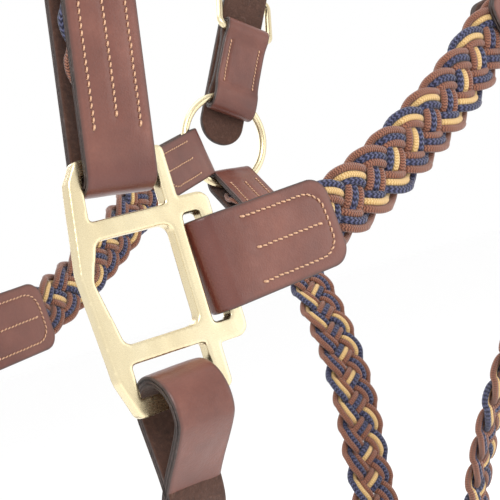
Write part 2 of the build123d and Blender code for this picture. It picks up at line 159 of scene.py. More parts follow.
def on_side(along, height, out=0.0):
    return SQUARE_AT + REAR * along + UP * height + OUT * out


def slack(to_centre, along, out, width):
    """Where a tab's fold is centred, from the middle of the ring wire."""
    sag = to_centre * (RING_RADIUS - math.sqrt(RING_RADIUS ** 2 - width ** 2 / 4))
    return along * (np.dot(sag, along) - 0.35) + out * (np.dot(sag, out) / 2)


# ---- materials ----
TURN = 6.2832


def new_material(name):
    material = bpy.data.materials.new(name)
    material.use_nodes = True
    tree = material.node_tree
    tree.nodes.clear()
    return material, Nodes(tree)


class Nodes:
    """Short calls for a node tree."""

    def __init__(self, tree):
        self.tree = tree

    def add(self, kind, inputs=None, **values):
        node = self.tree.nodes.new(kind)
        for key, value in values.items():
            setattr(node, key, value)
        for key, value in (inputs or {}).items():
            if isinstance(value, bpy.types.NodeSocket):
                self.tree.links.new(value, node.inputs[key])
            else:
                node.inputs[key].default_value = value
        return node

    def coords(self):
        return self.add("ShaderNodeTexCoord").outputs["Object"]

    def noise(self, scale, detail=4.0, rough=0.55, vector=None):
        inputs = {"Vector": vector or self.coords(), "Scale": scale, "Detail": detail, "Roughness": rough}
        return self.add("ShaderNodeTexNoise", inputs).outputs["Fac"]

    def ramp(self, fac, *stops):
        node = self.add("ShaderNodeValToRGB", {"Fac": fac})
        ramp = node.color_ramp
        while len(ramp.elements) < len(stops):
            ramp.elements.new(0.5)
        for element, (place, colour) in zip(ramp.elements, stops):
            element.position = place
            element.color = (*colour, 1.0)
        return node.outputs["Color"]

    def math(self, operation, a, b=0.0):
        return self.add("ShaderNodeMath", {0: a, 1: b}, operation=operation).outputs[0]

    def wave(self, turns):
        """A sine wave, from a number of turns."""
        return self.math("SINE", self.math("MULTIPLY", turns, TURN))

    def mix(self, fac, a, b):
        node = self.add("ShaderNodeMix", data_type="RGBA")
        for key, value in ((0, fac), (6, a), (7, b)):
            if isinstance(value, bpy.types.NodeSocket):
                self.tree.links.new(value, node.inputs[key])
            elif key == 0:
                node.inputs[key].default_value = value
            else:
                node.inputs[key].default_value = (*value, 1.0)
        return node.outputs[2]

    def spread(self, value, low, high, to_low, to_high):
        inputs = {0: value, 1: low, 2: high, 3: to_low, 4: to_high}
        return self.add("ShaderNodeMapRange", inputs).outputs[0]

    def tint(self, colour, other, value, low, high, to_low, to_high):
        """A colour mixed with another by how high a value is."""
        return self.mix(self.spread(value, low, high, to_low, to_high), colour, other)

    def attribute(self, name):
        return self.add("ShaderNodeAttribute", attribute_name=name).outputs["Fac"]

    def bump(self, height, distance, strength, normal=None):
        inputs = {"Height": height, "Distance": distance, "Strength": strength}
        if normal is not None:
            inputs["Normal"] = normal
        return self.add("ShaderNodeBump", inputs).outputs[0]

    def finish(self, colour, normal=None, roughness=0.5, **sockets):
        inputs = {"Base Color": colour, "Roughness": roughness}
        if normal is not None:
            inputs["Normal"] = normal
        shader = self.add("ShaderNodeBsdfPrincipled", inputs)
        for key, value in sockets.items():
            shader.inputs[key.replace("_", " ")].default_value = value
        self.tree.links.new(shader.outputs[0], self.add("ShaderNodeOutputMaterial").inputs[0])


def leather_grain():
    """Chestnut grain side: mottled dye, fine pores, darker towards the edges, with painted shade round the folds
    of the tabs.
    """
    material, n = new_material("leather_grain")
    mottle = n.noise(38.0, 5.0, 0.6)
    colour = n.ramp(mottle, (0.3, (0.078, 0.019, 0.012)), (0.52, (0.142, 0.041, 0.026)),
                    (0.75, (0.225, 0.078, 0.052)))
    colour = n.tint(colour, (0.24, 0.088, 0.06), n.noise(14.0, 2.0, 0.5), 0.35, 0.7, 0.0, 0.6)
    colour = n.tint(colour, (0.07, 0.018, 0.012), n.noise(900.0, 3.0, 0.7), 0.3, 0.75, 0.22, 0.0)
    colour = n.tint(colour, (0.055, 0.017, 0.011), n.attribute("edge"), 0.2, 1.5, 0.75, 0.0)
    # painted shade: darker red-brown round the fold of each tab, where the leather rolls away from the light
    colour = n.tint(colour, (0.095, 0.014, 0.008), n.attribute("fold"), 0.0, 1.0, 0.0, 0.8)
    pores = n.add("ShaderNodeTexVoronoi", {"Vector": n.coords(), "Scale": 1500.0}).outputs["Distance"]
    normal = n.bump(n.noise(130.0, 6.0, 0.65), 0.00035, 0.35)
    normal = n.bump(pores, 0.00012, 0.5, normal)
    normal = n.bump(n.noise(2600.0, 3.0, 0.6), 0.00006, 0.5, normal)
    rough = n.spread(mottle, 0.2, 0.8, 0.3, 0.42)
    n.finish(colour, normal, rough, Specular_IOR_Level=0.5, Coat_Weight=0.3, Coat_Roughness=0.25)
    return material


def leather_edge():
    """Cut edge: dark brown, burnished, with streaks and small grey fibres."""
    material, n = new_material("leather_edge")
    streaks = n.noise(420.0, 6.0, 0.7)
    colour = n.ramp(streaks, (0.3, (0.022, 0.012, 0.009)), (0.55, (0.055, 0.033, 0.027)),
                    (0.78, (0.125, 0.095, 0.085)))
    normal = n.bump(streaks, 0.0004, 0.7)
    normal = n.bump(n.noise(2200.0, 3.0, 0.7), 0.00012, 0.6, normal)
    n.finish(colour, normal, n.spread(streaks, 0.3, 0.7, 0.42, 0.7), Specular_IOR_Level=0.5)
    return material


def leather_flesh():
    """Rough flesh side: dark brown nap with paler fibres."""
    material, n = new_material("leather_flesh")
    nap = n.noise(700.0, 8.0, 0.75)
    colour = n.ramp(nap, (0.28, (0.028, 0.013, 0.008)), (0.55, (0.075, 0.034, 0.022)),
                    (0.8, (0.165, 0.09, 0.062)))
    colour = n.tint(colour, (0.1, 0.042, 0.028), n.noise(60.0, 4.0, 0.6), 0.35, 0.7, 0.0, 0.5)
    normal = n.bump(nap, 0.0005, 0.8)
    n.finish(colour, normal, 0.85, Specular_IOR_Level=0.25, Sheen_Weight=0.25, Sheen_Roughness=0.5)
    return material


def lining_leather():
    """Soft lining: a little redder, with larger soft wrinkles."""
    material, n = new_material("lining_leather")
    colour = n.ramp(n.noise(55.0, 5.0, 0.6), (0.3, (0.15, 0.045, 0.027)), (0.7, (0.24, 0.085, 0.053)))
    colour = n.tint(colour, (0.1, 0.03, 0.02), n.attribute("edge"), 0.2, 1.6, 0.7, 0.0)
    normal = n.bump(n.noise(240.0, 6.0, 0.65), 0.0005, 0.5)
    normal = n.bump(n.noise(1700.0, 3.0, 0.6), 0.0001, 0.6, normal)
    n.finish(colour, normal, 0.55, Specular_IOR_Level=0.4)
    return material


def thread_linen():
    """Waxed peach thread with its twist, painted darker in the twist's grooves as shade."""
    material, n = new_material("thread_linen")
    twist = n.wave(n.attribute("twist"))
    # painted shade: the thread is darker in the grooves of its twist
    colour = n.tint((0.76, 0.46, 0.28), (0.4, 0.19, 0.1), twist, -1.0, 0.2, 0.55, 0.0)
    n.finish(colour, n.bump(twist, 0.00016, 0.8), 0.55, Sheen_Weight=0.15, Sheen_Roughness=0.4)
    return material


def stitch_hole_shade():
    # painted shade: near-black colour that stands for the shade inside a stitch slit
    material, n = new_material("stitch_hole_shade")
    fibres = n.noise(2500.0, 2.0, 0.6)
    n.finish(n.ramp(fibres, (0.3, (0.012, 0.005, 0.004)), (0.8, (0.04, 0.015, 0.01))), None, 0.9)
    return material


def cord_sheath(name, base, dark, crest_highlight, crest_highlight_amount, plaits_per_mm):
    """Braided sheath: two families of yarns cross in V shapes all along the cord, painted darker in the hollows
    between them as shade and paler on their crests as highlight.
    """
    material, n = new_material(name)
    uv = n.add("ShaderNodeAttribute", attribute_name="cord_uv").outputs["Vector"]
    split = n.add("ShaderNodeSeparateXYZ", {0: uv})
    along = n.math("MULTIPLY", split.outputs[0], plaits_per_mm)
    around = n.math("MULTIPLY", split.outputs[1], 6.0)
    right = grey(n, n.wave(n.math("ADD", along, around)))
    left = grey(n, n.wave(n.math("SUBTRACT", along, around)))
    checks = n.wave(around)
    yarn = n.tint(right, left, checks, -0.25, 0.25, 0.0, 1.0)
    height = n.add("ShaderNodeRGBToBW", {0: yarn}).outputs[0]
    gap = n.spread(n.math("ABSOLUTE", checks), 0.0, 0.35, 0.0, 1.0)
    height = n.math("MULTIPLY", height, n.math("ADD", n.math("MULTIPLY", gap, 0.6), 0.4))
    # painted shade: the cord is darker in the low places between its yarns
    colour = n.tint(dark, base, height, 0.1, 0.55, 0.0, 1.0)
    # painted highlight: paler colour on the yarns' crests, broken into patches by noise
    crest_highlight_mask = n.spread(height, 0.62, 0.95, 0.0, crest_highlight_amount)
    highlight_patches = n.spread(n.noise(900.0, 3.0, 0.6), 0.35, 0.6, 0.3, 1.0)
    colour = n.mix(n.math("MULTIPLY", crest_highlight_mask, highlight_patches), colour, crest_highlight)
    normal = n.bump(height, 0.00028, 0.9)
    normal = n.bump(n.noise(4500.0, 2.0, 0.6), 0.00004, 0.6, normal)
    n.finish(colour, normal, 0.62, Specular_IOR_Level=0.4, Sheen_Weight=0.35, Sheen_Roughness=0.35)
    return material


def grey(n, wave):
    """A wave from -1..1 as a grey from 0..1."""
    value = n.spread(wave, -1.0, 1.0, 0.0, 1.0)
    return n.add("ShaderNodeCombineColor", {0: value, 1: value, 2: value}).outputs[0]


def cast_brass():
    """Satin cast brass: pale, softly brushed, with faint casting ripple and painted shade in the hollows."""
    material, n = new_material("cast_brass")
    cloud = n.noise(45.0, 4.0, 0.55)
    colour = n.ramp(cloud, (0.3, (0.78, 0.66, 0.42)), (0.55, (0.81, 0.7, 0.46)), (0.8, (0.84, 0.74, 0.51)))
    # painted shade: darker brown-gold in the inside corners of the casting
    colour = n.tint(colour, (0.42, 0.27, 0.09), n.attribute("hollow_shade"), 0.0, 1.0, 0.0, 0.65)
    stretched = n.add("ShaderNodeMapping", {"Vector": n.coords(), "Scale": (1.0, 1.0, 9.0)}).outputs[0]
    scratches = n.noise(900.0, 3.0, 0.6, stretched)
    normal = n.bump(n.noise(150.0, 3.0, 0.5), 0.0003, 0.12)
    normal = n.bump(scratches, 0.00002, 0.3, normal)
    rough = n.spread(scratches, 0.3, 0.7, 0.24, 0.3)
    n.finish(colour, normal, rough, Metallic=1.0)
    return material


GRAIN, EDGE, FLESH = leather_grain(), leather_edge(), leather_flesh()
LINING = lining_leather()
THREAD, HOLE_SHADE = thread_linen(), stitch_hole_shade()
BROWN = cord_sheath("cord_brown", (0.33, 0.13, 0.075), (0.1, 0.03, 0.018), (0.46, 0.22, 0.13), 0.25, 1.1)
NAVY = cord_sheath("cord_navy", (0.036, 0.038, 0.1), (0.009, 0.009, 0.026), (0.22, 0.23, 0.38), 0.55, 0.6)
BEIGE = cord_sheath("cord_beige", (0.87, 0.6, 0.26), (0.6, 0.34, 0.11), (0.95, 0.76, 0.45), 0.2, 1.1)
BRASS = cast_brass()


# ---- meshes ----
def make_object(name, points, faces, materials, face_slots, attributes, side=FAR, slot="leather",
                replaces=()):
    """A mesh of the far side's points in the drawing frame, mirrored for the near side."""
    points = np.asarray(points, float) * vec(1, side, 1)
    if side == NEAR:
        faces = [tuple(reversed(face)) for face in faces]
    mesh = bpy.data.meshes.new(name)
    mesh.from_pydata((points * MM + ORIGIN).tolist(), [], [tuple(int(i) for i in face) for face in faces])
    for material in materials:
        mesh.materials.append(material)
    mesh.polygons.foreach_set("material_index", np.asarray(face_slots, np.int32))
    for key, values in attributes.items():
        values = np.asarray(values, np.float32)
        kind = "FLOAT" if values.ndim == 1 else "FLOAT_VECTOR"
        layer = mesh.attributes.new(key, kind, "POINT")
        layer.data.foreach_set("value" if values.ndim == 1 else "vector", values.ravel())
    mesh.polygons.foreach_set("use_smooth", np.ones(len(mesh.polygons), bool))
    mesh.validate()
    mesh.update()
    thing = bpy.data.objects.new(name, mesh)
    bpy.context.scene.collection.objects.link(thing)
    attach(thing, "head_straps")
    if replaces:
        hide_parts(*replaces)
    return thing


def table_at(where, stations, table):
    """The rows of a table, interpolated at places between its stations."""
    return np.stack([np.interp(where, stations, table[:, k]) for k in range(table.shape[1])], axis=-1)


def along_line(points):
    """The length along a line at each of its points."""
    return np.concatenate([[0], np.cumsum(np.linalg.norm(np.diff(points, axis=0), axis=1))])


def round_angles(count):
    return np.arange(count) * 2 * math.pi / count


def oval_rings(path, sideways, upward, radius, shape, angles):
    """Rings of points about a path; shape is how wide and how tall they are, in radii."""
    wide = sideways[:, None] * shape[0] * np.cos(angles)[None, :, None]
    tall = upward[:, None] * shape[1] * np.sin(angles)[None, :, None]
    return path[:, None] + radius[:, None, None] * (wide + tall)


class Tubes:
    """A mesh of many tubes with closed ends."""

    def __init__(self):
        self.points, self.faces, self.slots, self.values = [], [], [], []
        self.count = 0

    def add(self, ring, slot, values):
        """Adds a tube of rings, with one value of the attribute for each point."""
        rings, around = ring.shape[:2]
        index = self.count + np.arange(rings * around).reshape(rings, around)
        after = np.roll(index, -1, axis=1)
        quads = np.stack([index[:-1], after[:-1], after[1:], index[1:]], axis=-1).reshape(-1, 4)
        self.faces += quads.tolist() + [index[0][::-1].tolist(), index[-1].tolist()]
        self.slots += [slot] * (len(quads) + 2)
        self.points.append(ring.reshape(-1, 3))
        self.values.append(values)
        self.count += rings * around

    def make(self, name, materials, attribute, **placing):
        attributes = {attribute: np.concatenate(self.values)}
        make_object(name, np.vstack(self.points), self.faces, materials, self.slots, attributes, **placing)


def ruffle(points, size, seed):
    """Smooth, repeatable unevenness from a few sine waves of wavelength about size."""
    rng = np.random.default_rng(seed)
    total = np.zeros(len(points))
    for _ in range(7):
        direction = unit(rng.normal(size=3)) * (2 * math.pi / size) * rng.uniform(0.6, 1.5)
        total += np.sin(points @ direction + rng.uniform(0, 2 * math.pi))
    return total / 4.0


def curve_through(points, step=0.5, closed=False):
    """Evenly spaced points on the quadratic B-spline of a control polygon."""
    points = np.asarray(points, float)
    if closed:
        points = np.vstack([points, points[:2]])
    pieces = [] if closed else [points[:1]]
    t = np.linspace(0, 1, 24)[:, None]
    middles = (points[:-1] + points[1:]) / 2
    for i in range(1, len(points) - 1):
        start, end = middles[i - 1], middles[i]
        pieces.append(start * (1 - t) ** 2 + points[i] * 2 * t * (1 - t) + end * t ** 2)
    if not closed:
        pieces.append(points[-1:])
    dense = np.vstack(pieces)
    keep = np.concatenate([[True], np.linalg.norm(np.diff(dense, axis=0), axis=1) > 1e-6])
    dense = dense[keep]
    length = along_line(dense)
    count = max(8, int(length[-1] / step)) + 1
    line = table_at(np.linspace(0, length[-1], count), length, dense)
    return line[:-1] if closed else line


# ---- leather ----
EDGE_STEPS = np.array([0, 0.1, 0.3, 0.6, 1.0, 1.6, 2.4])    # rows of points in from a cut edge
RIM = 3.2                # width of the finer mesh along a cut edge
MESH_STEP = 0.75
RIM_FACES = 0.42         # faces nearer the edge than this part of its rounding look like cut edge
PRESS_DEPTH = 0.3        # how deep a row of stitches draws the leather in
PRESS_WIDTH = 1.1
STITCH_PITCH = 2.1
STITCH_SLANT = 17
STITCH_FILL = 0.84       # a stitch's length, in pitches
STITCH_RADIUS = 0.3
END_STITCH = 1.35        # how much thicker the first and last stitches of a row are
SLIT_PLACE = 0.52        # from a stitch's middle to its slits, in stitch lengths
SLIT_SLANT = 38
SLIT_HALF_LONG = 0.46
SLIT_HALF_WIDE = 0.22


class Strap:
    """A piece of leather: a middle line in space, its outward and across directions, and an outline."""

    def __init__(self, line, out, across, width, thick, corner=TAB_CORNER, closed=False):
        self.line, self.thick, self.width, self.closed = line, thick, width, closed
        self.corner = corner
        steps = np.linalg.norm(np.diff(line, axis=0, append=line[:1]), axis=1)
        self.total = steps.sum() if closed else steps[:-1].sum()
        self.s = np.concatenate([[0], np.cumsum(steps[:-1])])
        self.across = unit(np.broadcast_to(across, line.shape).astype(float))
        ahead = np.roll(line, -1, 0) - np.roll(line, 1, 0)
        if not closed:
            ahead[0], ahead[-1] = line[1] - line[0], line[-1] - line[-2]
        normal = unit(np.cross(self.across, unit(ahead)))
        middle = len(line) // 2
        outward = np.dot(normal[middle], np.broadcast_to(out, line.shape)[middle]) > 0
        self.normal = normal if outward else -normal

    def half_width(self, s):
        half = self.width / 2 * np.ones_like(s)
        if self.closed:
            return half
        for from_end in (s, self.total - s):
            dip = np.clip(self.corner - from_end, 0, self.corner)
            rounded = np.sqrt(np.maximum(self.corner ** 2 - dip ** 2, 0))
            half = np.minimum(half, self.width / 2 - self.corner + rounded)
        return half

    def edge_distance(self, s, z):
        if self.closed:
            return self.half_width(s) - np.abs(z)
        distance = np.minimum(self.width / 2 - np.abs(z), np.minimum(s, self.total - s))
        for from_end in (s, self.total - s):
            u, w = self.corner - from_end, np.abs(z) - (self.width / 2 - self.corner)
            distance = np.where((u > 0) & (w > 0), self.corner - np.hypot(u, w), distance)
        return np.maximum(distance, 0)

    def at(self, s, z):
        """Points of the middle surface, and the outward direction there."""
        s, z = np.asarray(s, float), np.asarray(z, float)
        stations, line, normal, across = self.s, self.line, self.normal, self.across
        if self.closed:
            stations = np.append(stations, self.total)
            line, normal, across = (np.vstack([a, a[:1]]) for a in (line, normal, across))
            s = np.mod(s, self.total)
        wide = unit(table_at(s, stations, across))
        return table_at(s, stations, line) + wide * z[..., None], unit(table_at(s, stations, normal))

    def grid(self):
        """Places along and across the strap for the mesh's points, closer together at the cut edges."""
        if self.closed:
            count = max(16, int(self.total / MESH_STEP))
            along = np.linspace(0, self.total, count, endpoint=False)
        else:
            count = max(4, int((self.total - 2 * RIM) / MESH_STEP))
            inner = np.linspace(RIM, self.total - RIM, count)
            along = np.concatenate([EDGE_STEPS, inner, self.total - EDGE_STEPS[::-1]])
        inner = np.linspace(-1, 1, max(5, int((self.width - 2 * RIM) / MESH_STEP)))
        plain, rim = np.zeros(len(inner)), np.zeros(len(EDGE_STEPS))
        inset = np.concatenate([EDGE_STEPS, plain, EDGE_STEPS[::-1]])
        sign = np.concatenate([rim - 1, plain, rim + 1])
        middle = np.concatenate([rim, inner, rim])
        s = np.tile(along[:, None], (1, len(inset)))
        half = self.half_width(s)
        shrink = np.minimum(1.0, half / 4.0)
        return s, np.where(sign == 0, middle * (half - RIM * shrink), sign * (half - inset * shrink))

    def quads(self, shape):
        """Faces of the grain side, and of the band that joins its rim to the flesh side."""
        count = shape[0] * shape[1]
        index = np.arange(count).reshape(shape)
        if self.closed:
            index = np.vstack([index, index[:1]])
            rims = [index[:, 0], index[::-1, -1]]
        else:
            rims = [np.concatenate([index[:, 0], index[-1, 1:], index[:-1, -1][::-1], index[0, :-1][::-1]])]
        top = np.stack([index[:-1, :-1], index[:-1, 1:], index[1:, 1:], index[1:, :-1]], axis=-1)
        band = [np.stack([rim[:-1], rim[1:], rim[1:] + count, rim[:-1] + count], axis=-1) for rim in rims]
        return top.reshape(-1, 4), np.vstack(band)

    def rise(self, base, s, z):
        """How far the leather stands out from its even shape."""
        flat = base.reshape(-1, 3)
        uneven = ruffle(flat, 26.0, self.seed) + ruffle(flat, 7.0, self.seed + 1) * 0.3
        puff = self.swell(s, z) if self.swell else 0.0
        return uneven.reshape(s.shape) * self.rough + puff

    def build(self, name, rows, swell=None, edge_round=1.0, rough=0.12, seed=1, fold=None,
              materials=(GRAIN, EDGE, FLESH), side=FAR, **placing):
        """The mesh: grain side, flesh side and rounded cut edges, pressed in along rows of stitches."""
        self.seed, self.rough, self.swell = seed, rough, swell
        s, z = self.grid()
        distance = self.edge_distance(s, z)
        over = np.clip(edge_round - distance, 0, edge_round)
        lift = self.thick / 2 - edge_round + np.sqrt(np.maximum(edge_round ** 2 - over ** 2, 0))
        press = np.zeros(s.shape)
        for row in rows:
            press = np.maximum(press, np.exp(-(row_distance(row, s, z) / PRESS_WIDTH) ** 2))
        base, normal = self.at(s, z)
        rise = self.rise(base, s, z) * np.clip(distance / 1.5, 0, 1)
        top = base + normal * (lift + rise - PRESS_DEPTH * press)[..., None]
        bottom = base + normal * (rise - lift)[..., None]
        points = np.vstack([top.reshape(-1, 3), bottom.reshape(-1, 3)])
        quads, band = self.quads(s.shape)
        rim = distance.ravel()[quads].mean(axis=1) < RIM_FACES * edge_round
        slots = np.concatenate([np.where(rim, 1, 0), np.where(rim, 1, 2), np.ones(len(band), int)])
        if not self.facing(points, quads, normal.reshape(-1, 3)):
            quads, band = quads[:, ::-1], band[:, ::-1]
        faces = np.vstack([quads, quads[:, ::-1] + s.size, band[:, ::-1]])
        # fold gives how much painted shade lies round a tab's fold
        fold_shading = fold(s).ravel() if fold else np.zeros(s.size)
        attributes = {"edge": np.tile(distance.ravel(), 2), "fold": np.tile(fold_shading, 2)}
        thing = make_object(name, points, faces.tolist(), materials, slots, attributes, side, **placing)
        self.sew(name + "_stitches", rows, side)
        return thing

    @staticmethod
    def facing(points, quads, normals):
        """Whether the quads of the grain side already face outward."""
        middle = quads[len(quads) // 2]
        a, b, c, _ = points[middle]
        return np.dot(np.cross(b - a, c - a), normals[middle[0]]) > 0

    def surface(self, s, z, level):
        """Points at a height over the grain side in a row of stitches, and the outward direction there."""
        base, normal = self.at(s, z)
        height = self.thick / 2 + self.rise(base, s, z) - PRESS_DEPTH + level
        return base + normal * height[..., None], normal

    def sew(self, name, rows, side):
        """Single threads along each row: every stitch is slanted and dives into a slit at both ends."""
        rng = np.random.default_rng(self.seed + 40)
        tubes = Tubes()
        for row in rows:
            row = np.asarray(row, float)
            lengths = along_line(row)
            number = max(1, int(round(lengths[-1] / STITCH_PITCH)))
            pitch = lengths[-1] / number
            for i in range(number):
                where = (i + 0.5) * pitch
                centre = table_at(where, lengths, row)
                ahead = unit(table_at(where + 0.3, lengths, row) - table_at(where - 0.3, lengths, row))
                left = vec(-ahead[1], ahead[0])
                direction = turned(ahead, left, STITCH_SLANT + rng.normal(0, 2.0))
                length = pitch * (STITCH_FILL + rng.uniform(-0.03, 0.03))
                middle = centre + left * rng.normal(0, 0.05)
                fat = END_STITCH if i in (0, number - 1) else 1.0
                radius = STITCH_RADIUS * fat * rng.uniform(0.93, 1.07)
                self.add_stitch(tubes, middle, direction, length, radius)
                for end in (1, -1):
                    self.add_slit(tubes, centre + direction * length * SLIT_PLACE * end, ahead, left)
        tubes.make(name, [THREAD, HOLE_SHADE], "twist", side=side)

    def add_stitch(self, tubes, centre, direction, length, radius):
        """A thread that arches over the leather and narrows where it goes in."""
        q = np.linspace(-1, 1, 9)
        s, z = (centre[i] + direction[i] * q * length / 2 for i in (0, 1))
        middle, normal = self.surface(s, z, 0.30 - 0.62 * q ** 4)
        along = unit(np.gradient(middle, axis=0))
        sideways = unit(np.cross(along, normal))
        size = radius * np.sqrt(np.maximum(1 - 0.72 * np.abs(q) ** 6, 0.05))
        angles = round_angles(8)
        ring = oval_rings(middle, sideways, np.cross(sideways, along), size, (1.0, 0.85), angles)
        turns = q[:, None] * length * 0.55 + angles[None] / (2 * math.pi)
        tubes.add(ring, 0, turns.ravel())

    def add_slit(self, tubes, centre, ahead, left):
        """A small dome in the leather at a stitch's end, painted dark as the shade inside its slit."""
        direction = turned(ahead, left, SLIT_SLANT)
        cross = vec(-direction[1], direction[0])
        theta = np.linspace(0.35, math.pi - 0.35, 4)[:, None]
        angles = round_angles(8)
        u = np.sin(theta) * np.cos(angles) * SLIT_HALF_LONG
        w = np.sin(theta) * np.sin(angles) * SLIT_HALF_WIDE
        s, z = (centre[i] + direction[i] * u + cross[i] * w for i in (0, 1))
        level = -0.02 + 0.10 * np.cos(theta) * np.ones(len(angles))
        ring, _ = self.surface(s, z, level)
        # the slit dome takes the dark painted-shade material
        tubes.add(ring, 1, np.zeros(u.size))


def row_distance(row, s, z):
    """Distance in the leather's own plane from a row of stitches."""
    row = np.asarray(row, float)
    best = np.full(s.shape, np.inf)
    for (s0, z0), (s1, z1) in zip(row[:-1], row[1:]):
        ds, dz = s1 - s0, z1 - z0
        t = np.clip(((s - s0) * ds + (z - z0) * dz) / (ds * ds + dz * dz), 0, 1)
        best = np.minimum(best, np.hypot(s - s0 - t * ds, z - z0 - t * dz))
    return best


# ---- folded tabs ----
FOLD_RADIUS = TAB_GAP / 2 + LEATHER / 2
FOLD_SHADE = 4.0         # how far past the fold its painted shade reaches


def tab_strap(origin, along, out, length, width):
    """The leather of a tab, from the end of its outer layer round the fold to the end of its inner layer."""
    along, out = unit(along), unit(out)
    across = np.cross(along, out)
    turn = np.linspace(math.pi / 2, 1.5 * math.pi, 25)
    fold = [(FOLD_RADIUS * math.cos(a), FOLD_RADIUS * math.sin(a)) for a in turn]
    straight = np.linspace(length, 0.6, max(8, int(length / 2)))
    flat = [(x, FOLD_RADIUS) for x in straight] + fold + [(x, -FOLD_RADIUS) for x in straight[::-1]]
    flat = np.array(flat)
    line = origin + flat[:, :1] * along + flat[:, 1:] * out
    radial = flat - np.stack([np.maximum(flat[:, 0], 0), np.zeros(len(flat))], axis=1)
    return Strap(line, radial[:, :1] * along + radial[:, 1:] * out, across, width, LEATHER)


def u_row(length, width, from_bar, from_end, inset, bend=7.0):
    """A row of stitches that comes along one edge, turns round the tab's end and goes back."""
    z = width / 2 - inset
    turn = [(from_end + bend - bend * math.cos(a), -z + bend - bend * math.sin(a))
            for a in np.linspace(math.pi / 2, 0, 7)]
    back = [(along, -across) for along, across in reversed(turn)]
    return [(length - from_bar, -z)] + turn + back + [(length - from_bar, z)]


def tab(name, node, place, size, sewing, side, seed):
    """A folded tab, sewn through both layers in a U and down the middle."""
    length, width = size
    from_bar, from_end, inset, middle_from_bar, middle_from_end = sewing
    strap = tab_strap(*place, length, width)
    total = strap.total
    outer_rows = [u_row(length, width, from_bar, from_end, inset),
                  [(length - middle_from_bar, 0.0), (middle_from_end, 0.0)]]
    inner_rows = [[(total - s, z) for s, z in row] for row in outer_rows]

    def puff(s, z):
        """The leather swells over the plait and is drawn in at its edges."""
        near_bar = np.minimum(s, total - s)
        hold = smooth_step((length - near_bar) / 8.0) * smooth_step(near_bar / 5.0)
        swelling = 0.35 * hold * np.cos(z / (width / 2) * math.pi / 2)
        return swelling - 0.25 * hold * smooth_step((np.abs(z) - width * 0.33) / 4)

    # painted shade round the fold: how much darker the leather is painted there
    def fold(s):
        middle = np.abs(s - total / 2) / (math.pi * FOLD_RADIUS / 2 + FOLD_SHADE)
        return np.clip(1 - middle, 0, 1) ** 0.8

    strap.build(name, outer_rows + inner_rows, puff, seed=seed, fold=fold, side=side, replaces=[node])


LOWER_TAB_START = on_side(24.85, 0.8, -0.2)
LOWER_TAB_DIR = turned(REAR, UP, math.degrees(math.atan(0.075)))
UPPER_TAB_END = RING_WIRE_AT + slack(RING_REAR, -UPPER_TAB_DIR, OUT, RING_TAB_WIDTH)
NOSE_BACK_LEAN = 5.0
NOSE_SPREAD = 10.0
NOSE_BAR_AT = on_side(-0.6, 38.5)
NOSE_TAB_DIR = turned(turned(UP, REAR, NOSE_BACK_LEAN), OUT, NOSE_SPREAD)
NOSE_TAB_START = NOSE_BAR_AT - NOSE_TAB_DIR * 3.0
NOSE_ACROSS = turned(REAR, -UP, NOSE_BACK_LEAN)
THROAT_PLANE_LEAN = 0.28
THROAT_DOWN = vec(-THROAT_PLANE_LEAN, 0, -math.sqrt(1 - THROAT_PLANE_LEAN ** 2))
THROAT_NORMAL = np.cross(THROAT_DOWN, vec(0, 1, 0))
THROAT_IN = 42.0
THROAT_DIR = turned(THROAT_DOWN, vec(0, -1, 0), THROAT_IN)
THROAT_FOLD = unit(np.cross(RING_OUT, THROAT_DIR))
THROAT_FACE = -np.cross(THROAT_DIR, THROAT_FOLD)
IN_RING = unit(THROAT_DIR - RING_OUT * np.dot(THROAT_DIR, RING_OUT))
THROAT_WIRE_AT = RING_AT + IN_RING * RING_RADIUS
THROAT_SLACK = slack(-IN_RING, THROAT_DIR, THROAT_FACE, THROAT_TAB_WIDTH)
THROAT_SHIFT = THROAT_FACE * np.dot(THROAT_SLACK, THROAT_FACE)
FAR_THROAT_START = THROAT_WIRE_AT + THROAT_SLACK
NEAR_THROAT_START = SNAP_AT + NEAR_DIR * SNAP_LENGTH
NEAR_FOLD = (THROAT_NORMAL * np.dot(THROAT_FOLD, THROAT_NORMAL)
             + np.cross(NEAR_DIR, THROAT_NORMAL) * np.dot(THROAT_FOLD, np.cross(THROAT_DIR, THROAT_NORMAL)))
NEAR_FACE = -np.cross(NEAR_DIR, NEAR_FOLD)


SEW_LOW = (10.0, 4.4, 4.2, 12.0, 7.0)    # the U from the bar, the end and the edge; the middle row from both
SEW_HIGH = (10.0, 4.2, 4.2, 12.0, 6.6)
SEW_NOSE = (12.5, 4.2, 4.2, 16.0, 6.6)
SEW_THROAT = (10.0, 4.0, 3.8, 12.0, 6.4)
LOW_PLACE = (LOWER_TAB_START, LOWER_TAB_DIR, OUT)
HIGH_PLACE = (UPPER_TAB_END, -UPPER_TAB_DIR, OUT)
NOSE_PLACE = (NOSE_TAB_START, NOSE_TAB_DIR, np.cross(NOSE_TAB_DIR, NOSE_ACROSS))
CHEEK_TABS = [
    ("_cheek_tab_low", "_cheek_lower_tab", LOW_PLACE, (LOWER_TAB_LENGTH, TAB_WIDTH), SEW_LOW),
    ("_cheek_tab_high", "_cheek_upper_tab", HIGH_PLACE, (UPPER_TAB_LENGTH, RING_TAB_WIDTH), SEW_HIGH),
    ("_nose_tab", "_noseband_tab", NOSE_PLACE, (NOSE_TAB_LENGTH, NOSE_TAB_WIDTH), SEW_NOSE),
]


